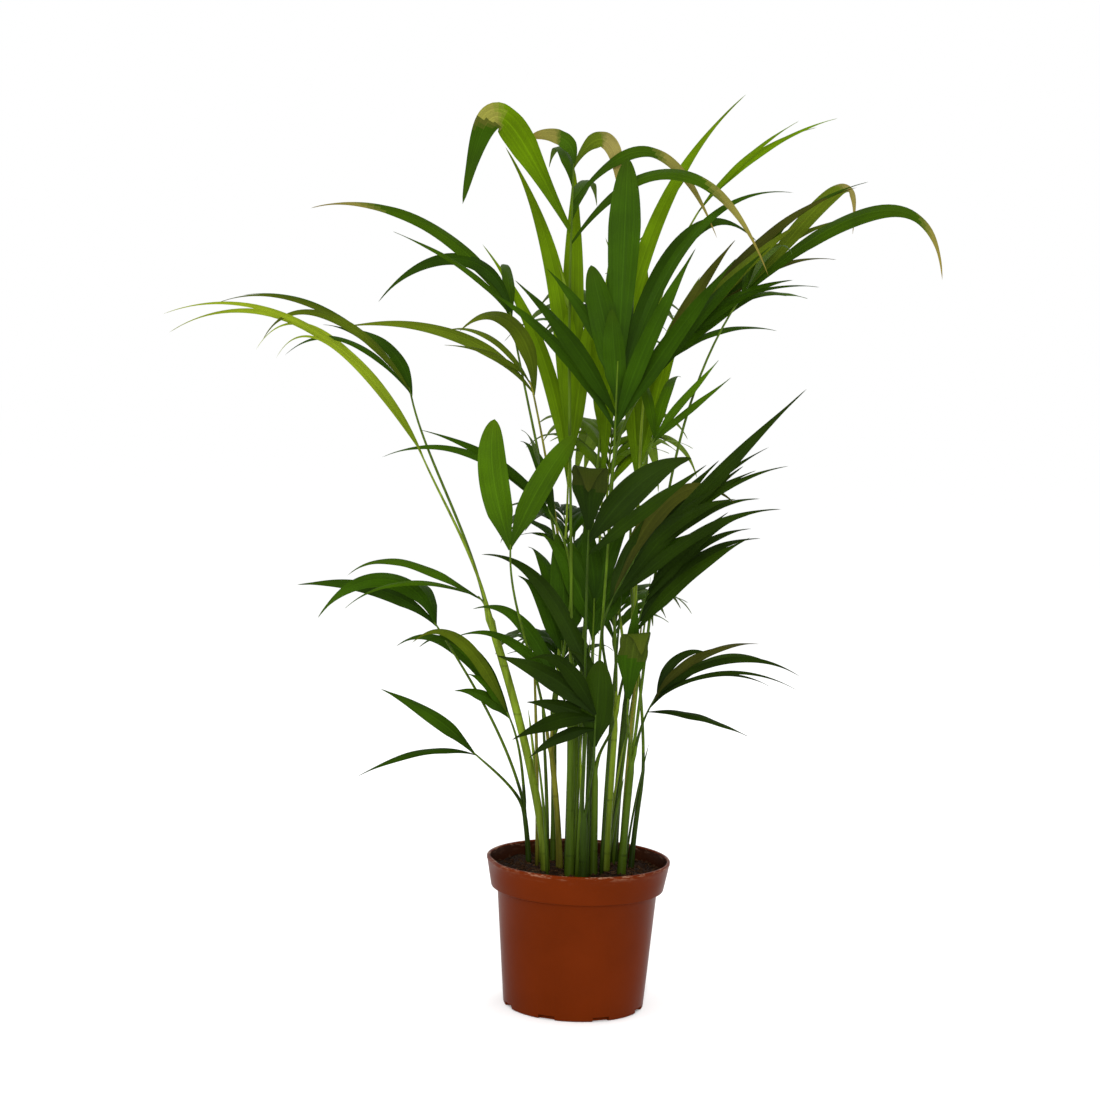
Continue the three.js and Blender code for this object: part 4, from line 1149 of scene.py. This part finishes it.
# inner faces below the rim take the darker inside material, a painted shade inside the pot
for face in pot.data.polygons:
    outward = face.normal.x * face.center.x + face.normal.y * face.center.y
    belowRim = face.center.z < (potLook["high"] - 1.0) * mm
    face.material_index = int(outward < -0.2 * face.center.xy.length and belowRim)
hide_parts("pot")
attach(pot, "root")
print("pot made")

# Soil: a lumpy surface with crumbs and bits of fibre
soilLook = {"radius": 80.4, "top": 127, "rings": 26, "sides": 120, "crumbs": 900, "fibres": 260,
            "crumbSizes": (0.7, 0.9, 1.2, 1.6, 2.3), "rough": 0.92, "specular": 0.08, "grain": 320,
            "patches": 24, "crust": (104, 102, 78), "crustShare": 0.5,
            "reliefDepth": 0.7, "reliefHigh": 0.0015}


def soilSurface(name, colour, spread):
    look = soilLook
    material, tree, surface = newSurface(name, look["rough"], look["specular"])
    where = coordinates(tree)["Object"]
    grain = noiseOn(tree, where, look["grain"], 6, Roughness=0.7)
    tint = rampOf(tree, grain, (0.32, shade(colour, 1 - spread)), (0.7, shade(colour, 1 + spread * 1.4)))
    # a pale crust in patches
    patch = noiseOn(tree, where, look["patches"], 5, Roughness=0.7)
    crust = rampOf(tree, patch, (0.56, grey(0)), (0.72, grey(look["crustShare"])))
    tree.links.new(blendColours(tree, crust, tint, onScreen(*look["crust"])), surface.inputs["Base Color"])
    bumpOn(tree, surface, grain, look["reliefDepth"], look["reliefHigh"])
    return material


soilMaterials = {"soil": soilSurface("potting_mix", onScreen(44, 28, 16), 0.5),
                 "crumb": soilSurface("soil_crumbs", onScreen(58, 38, 22), 0.5),
                 "fibre": soilSurface("peat_fibre", onScreen(104, 76, 48), 0.3)}


def lump(x, y):
    return (1.1 * math.sin(x * 0.11 + 1.3) * math.cos(y * 0.13) + 0.7 * math.sin(x * 0.31 + y * 0.23)
            + 0.5 * math.cos(x * 0.52 - y * 0.61) - 0.6)


def makeSoil(chance):
    look = soilLook
    top, radius = look["top"], look["radius"]
    edge = radius - 0.6
    profile = [(60, 2.6), (62.4, 4.4), (71.4, 108), (77.4, 114), (edge, top - 2.4)]
    profile += [(edge * (1 - k / look["rings"]), top - 1.6) for k in range(1, look["rings"])]
    soil = turnedPiece("soil_bed", profile, look["sides"])
    for vertex in soil.data.vertices:
        if vertex.co.z / mm > top - 3:
            x, y = vertex.co.x / mm, vertex.co.y / mm
            vertex.co.z += (lump(x, y) + chance.uniform(-0.45, 0.45)) * mm
    for polygon in soil.data.polygons:
        polygon.use_smooth = True
    soil.data.materials.clear()
    soil.data.materials.append(soilMaterials["soil"])
    batch = newBatch()
    corners = [(1, 0, 0), (-1, 0, 0), (0, 1, 0), (0, -1, 0), (0, 0, 1), (0, 0, -1)]
    faces = [(0, 2, 4), (2, 1, 4), (1, 3, 4), (3, 0, 4), (2, 0, 5), (1, 2, 5), (3, 1, 5), (0, 3, 5)]
    for _ in range(look["crumbs"]):
        x, y = spotWithin(radius * 0.97, chance)
        size = chance.choice(look["crumbSizes"])
        middle = np.array([x, y, top - 1.6 + lump(x, y) + size * 0.3])
        points = [middle + np.array(c) * size * chance.uniform(0.6, 1.15) for c in corners]
        addFaces(batch, points, faces, "crumb", [(0, 0)] * 6)
    for _ in range(look["fibres"]):
        x, y = spotWithin(radius * 0.9, chance)
        start = np.array([x, y, top - 1.2 + lump(x, y)])
        ahead = along(chance.uniform(0, 360), chance.uniform(-4, 20))
        path = [(start + ahead * k * chance.uniform(1.2, 2.6), ahead) for k in range(3)]
        addLimb(batch, path, unit(np.cross(ahead, (0, 0, 1))), lambda s: 0.55 - 0.3 * s, 4, "fibre")
    crumbs = makePiece("soil_crumbs", batch, soilMaterials, smooth=False)
    recalculate(crumbs)
    for piece in (soil, crumbs):
        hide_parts("soil")
        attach(piece, "root")


makeSoil(chance)
print("soil made")

# Studio: a pale floor, a soft frontal light and fill from both sides
studio = {"floor": 60, "floorRough": 0.9, "sky": 1.0}
lamps = {
    "key": {"at": (-0.05, -2.4, 1.0), "aim": (0, 0, 0.4), "size": (0.22, 0.9), "power": 46},
    "fillLeft": {"at": (-2.0, -0.6, 1.5), "aim": (0, 0, 0.4), "size": (1.4, 1.4), "power": 10},
    "backRight": {"at": (1.2, 1.8, 1.8), "aim": (0, 0, 0.5), "size": (1.4, 1.4), "power": 14},
}


def areaLight(name, lamp):
    data = bpy.data.lights.new(name, "AREA")
    data.shape = "RECTANGLE"
    data.size, data.size_y = lamp["size"]
    data.energy = lamp["power"]
    light = bpy.data.objects.new(name, data)
    bpy.context.scene.collection.objects.link(light)
    light.location = lamp["at"]
    light.rotation_euler = (Vector(lamp["aim"]) - Vector(lamp["at"])).to_track_quat("-Z", "Y").to_euler()


def makeStudio():
    bpy.ops.object.select_all(action="DESELECT")
    bpy.ops.mesh.primitive_plane_add(size=studio["floor"], location=(0, 0, 0))
    floor = bpy.context.object
    floor.name = "floor"
    material, _, surface = newSurface("pale_floor", studio["floorRough"], 0.0)
    surface.inputs["Base Color"].default_value = (1, 1, 1, 1)
    floor.data.materials.append(material)
    world = bpy.data.worlds.new("studio")
    world.use_nodes = True
    background = world.node_tree.nodes["Background"]
    background.inputs["Color"].default_value = (1, 1, 1, 1)
    background.inputs["Strength"].default_value = studio["sky"]
    bpy.context.scene.world = world
    for name, lamp in lamps.items():
        areaLight(name, lamp)
    bpy.context.scene.view_settings.view_transform = "Standard"


makeStudio()
print("studio made")
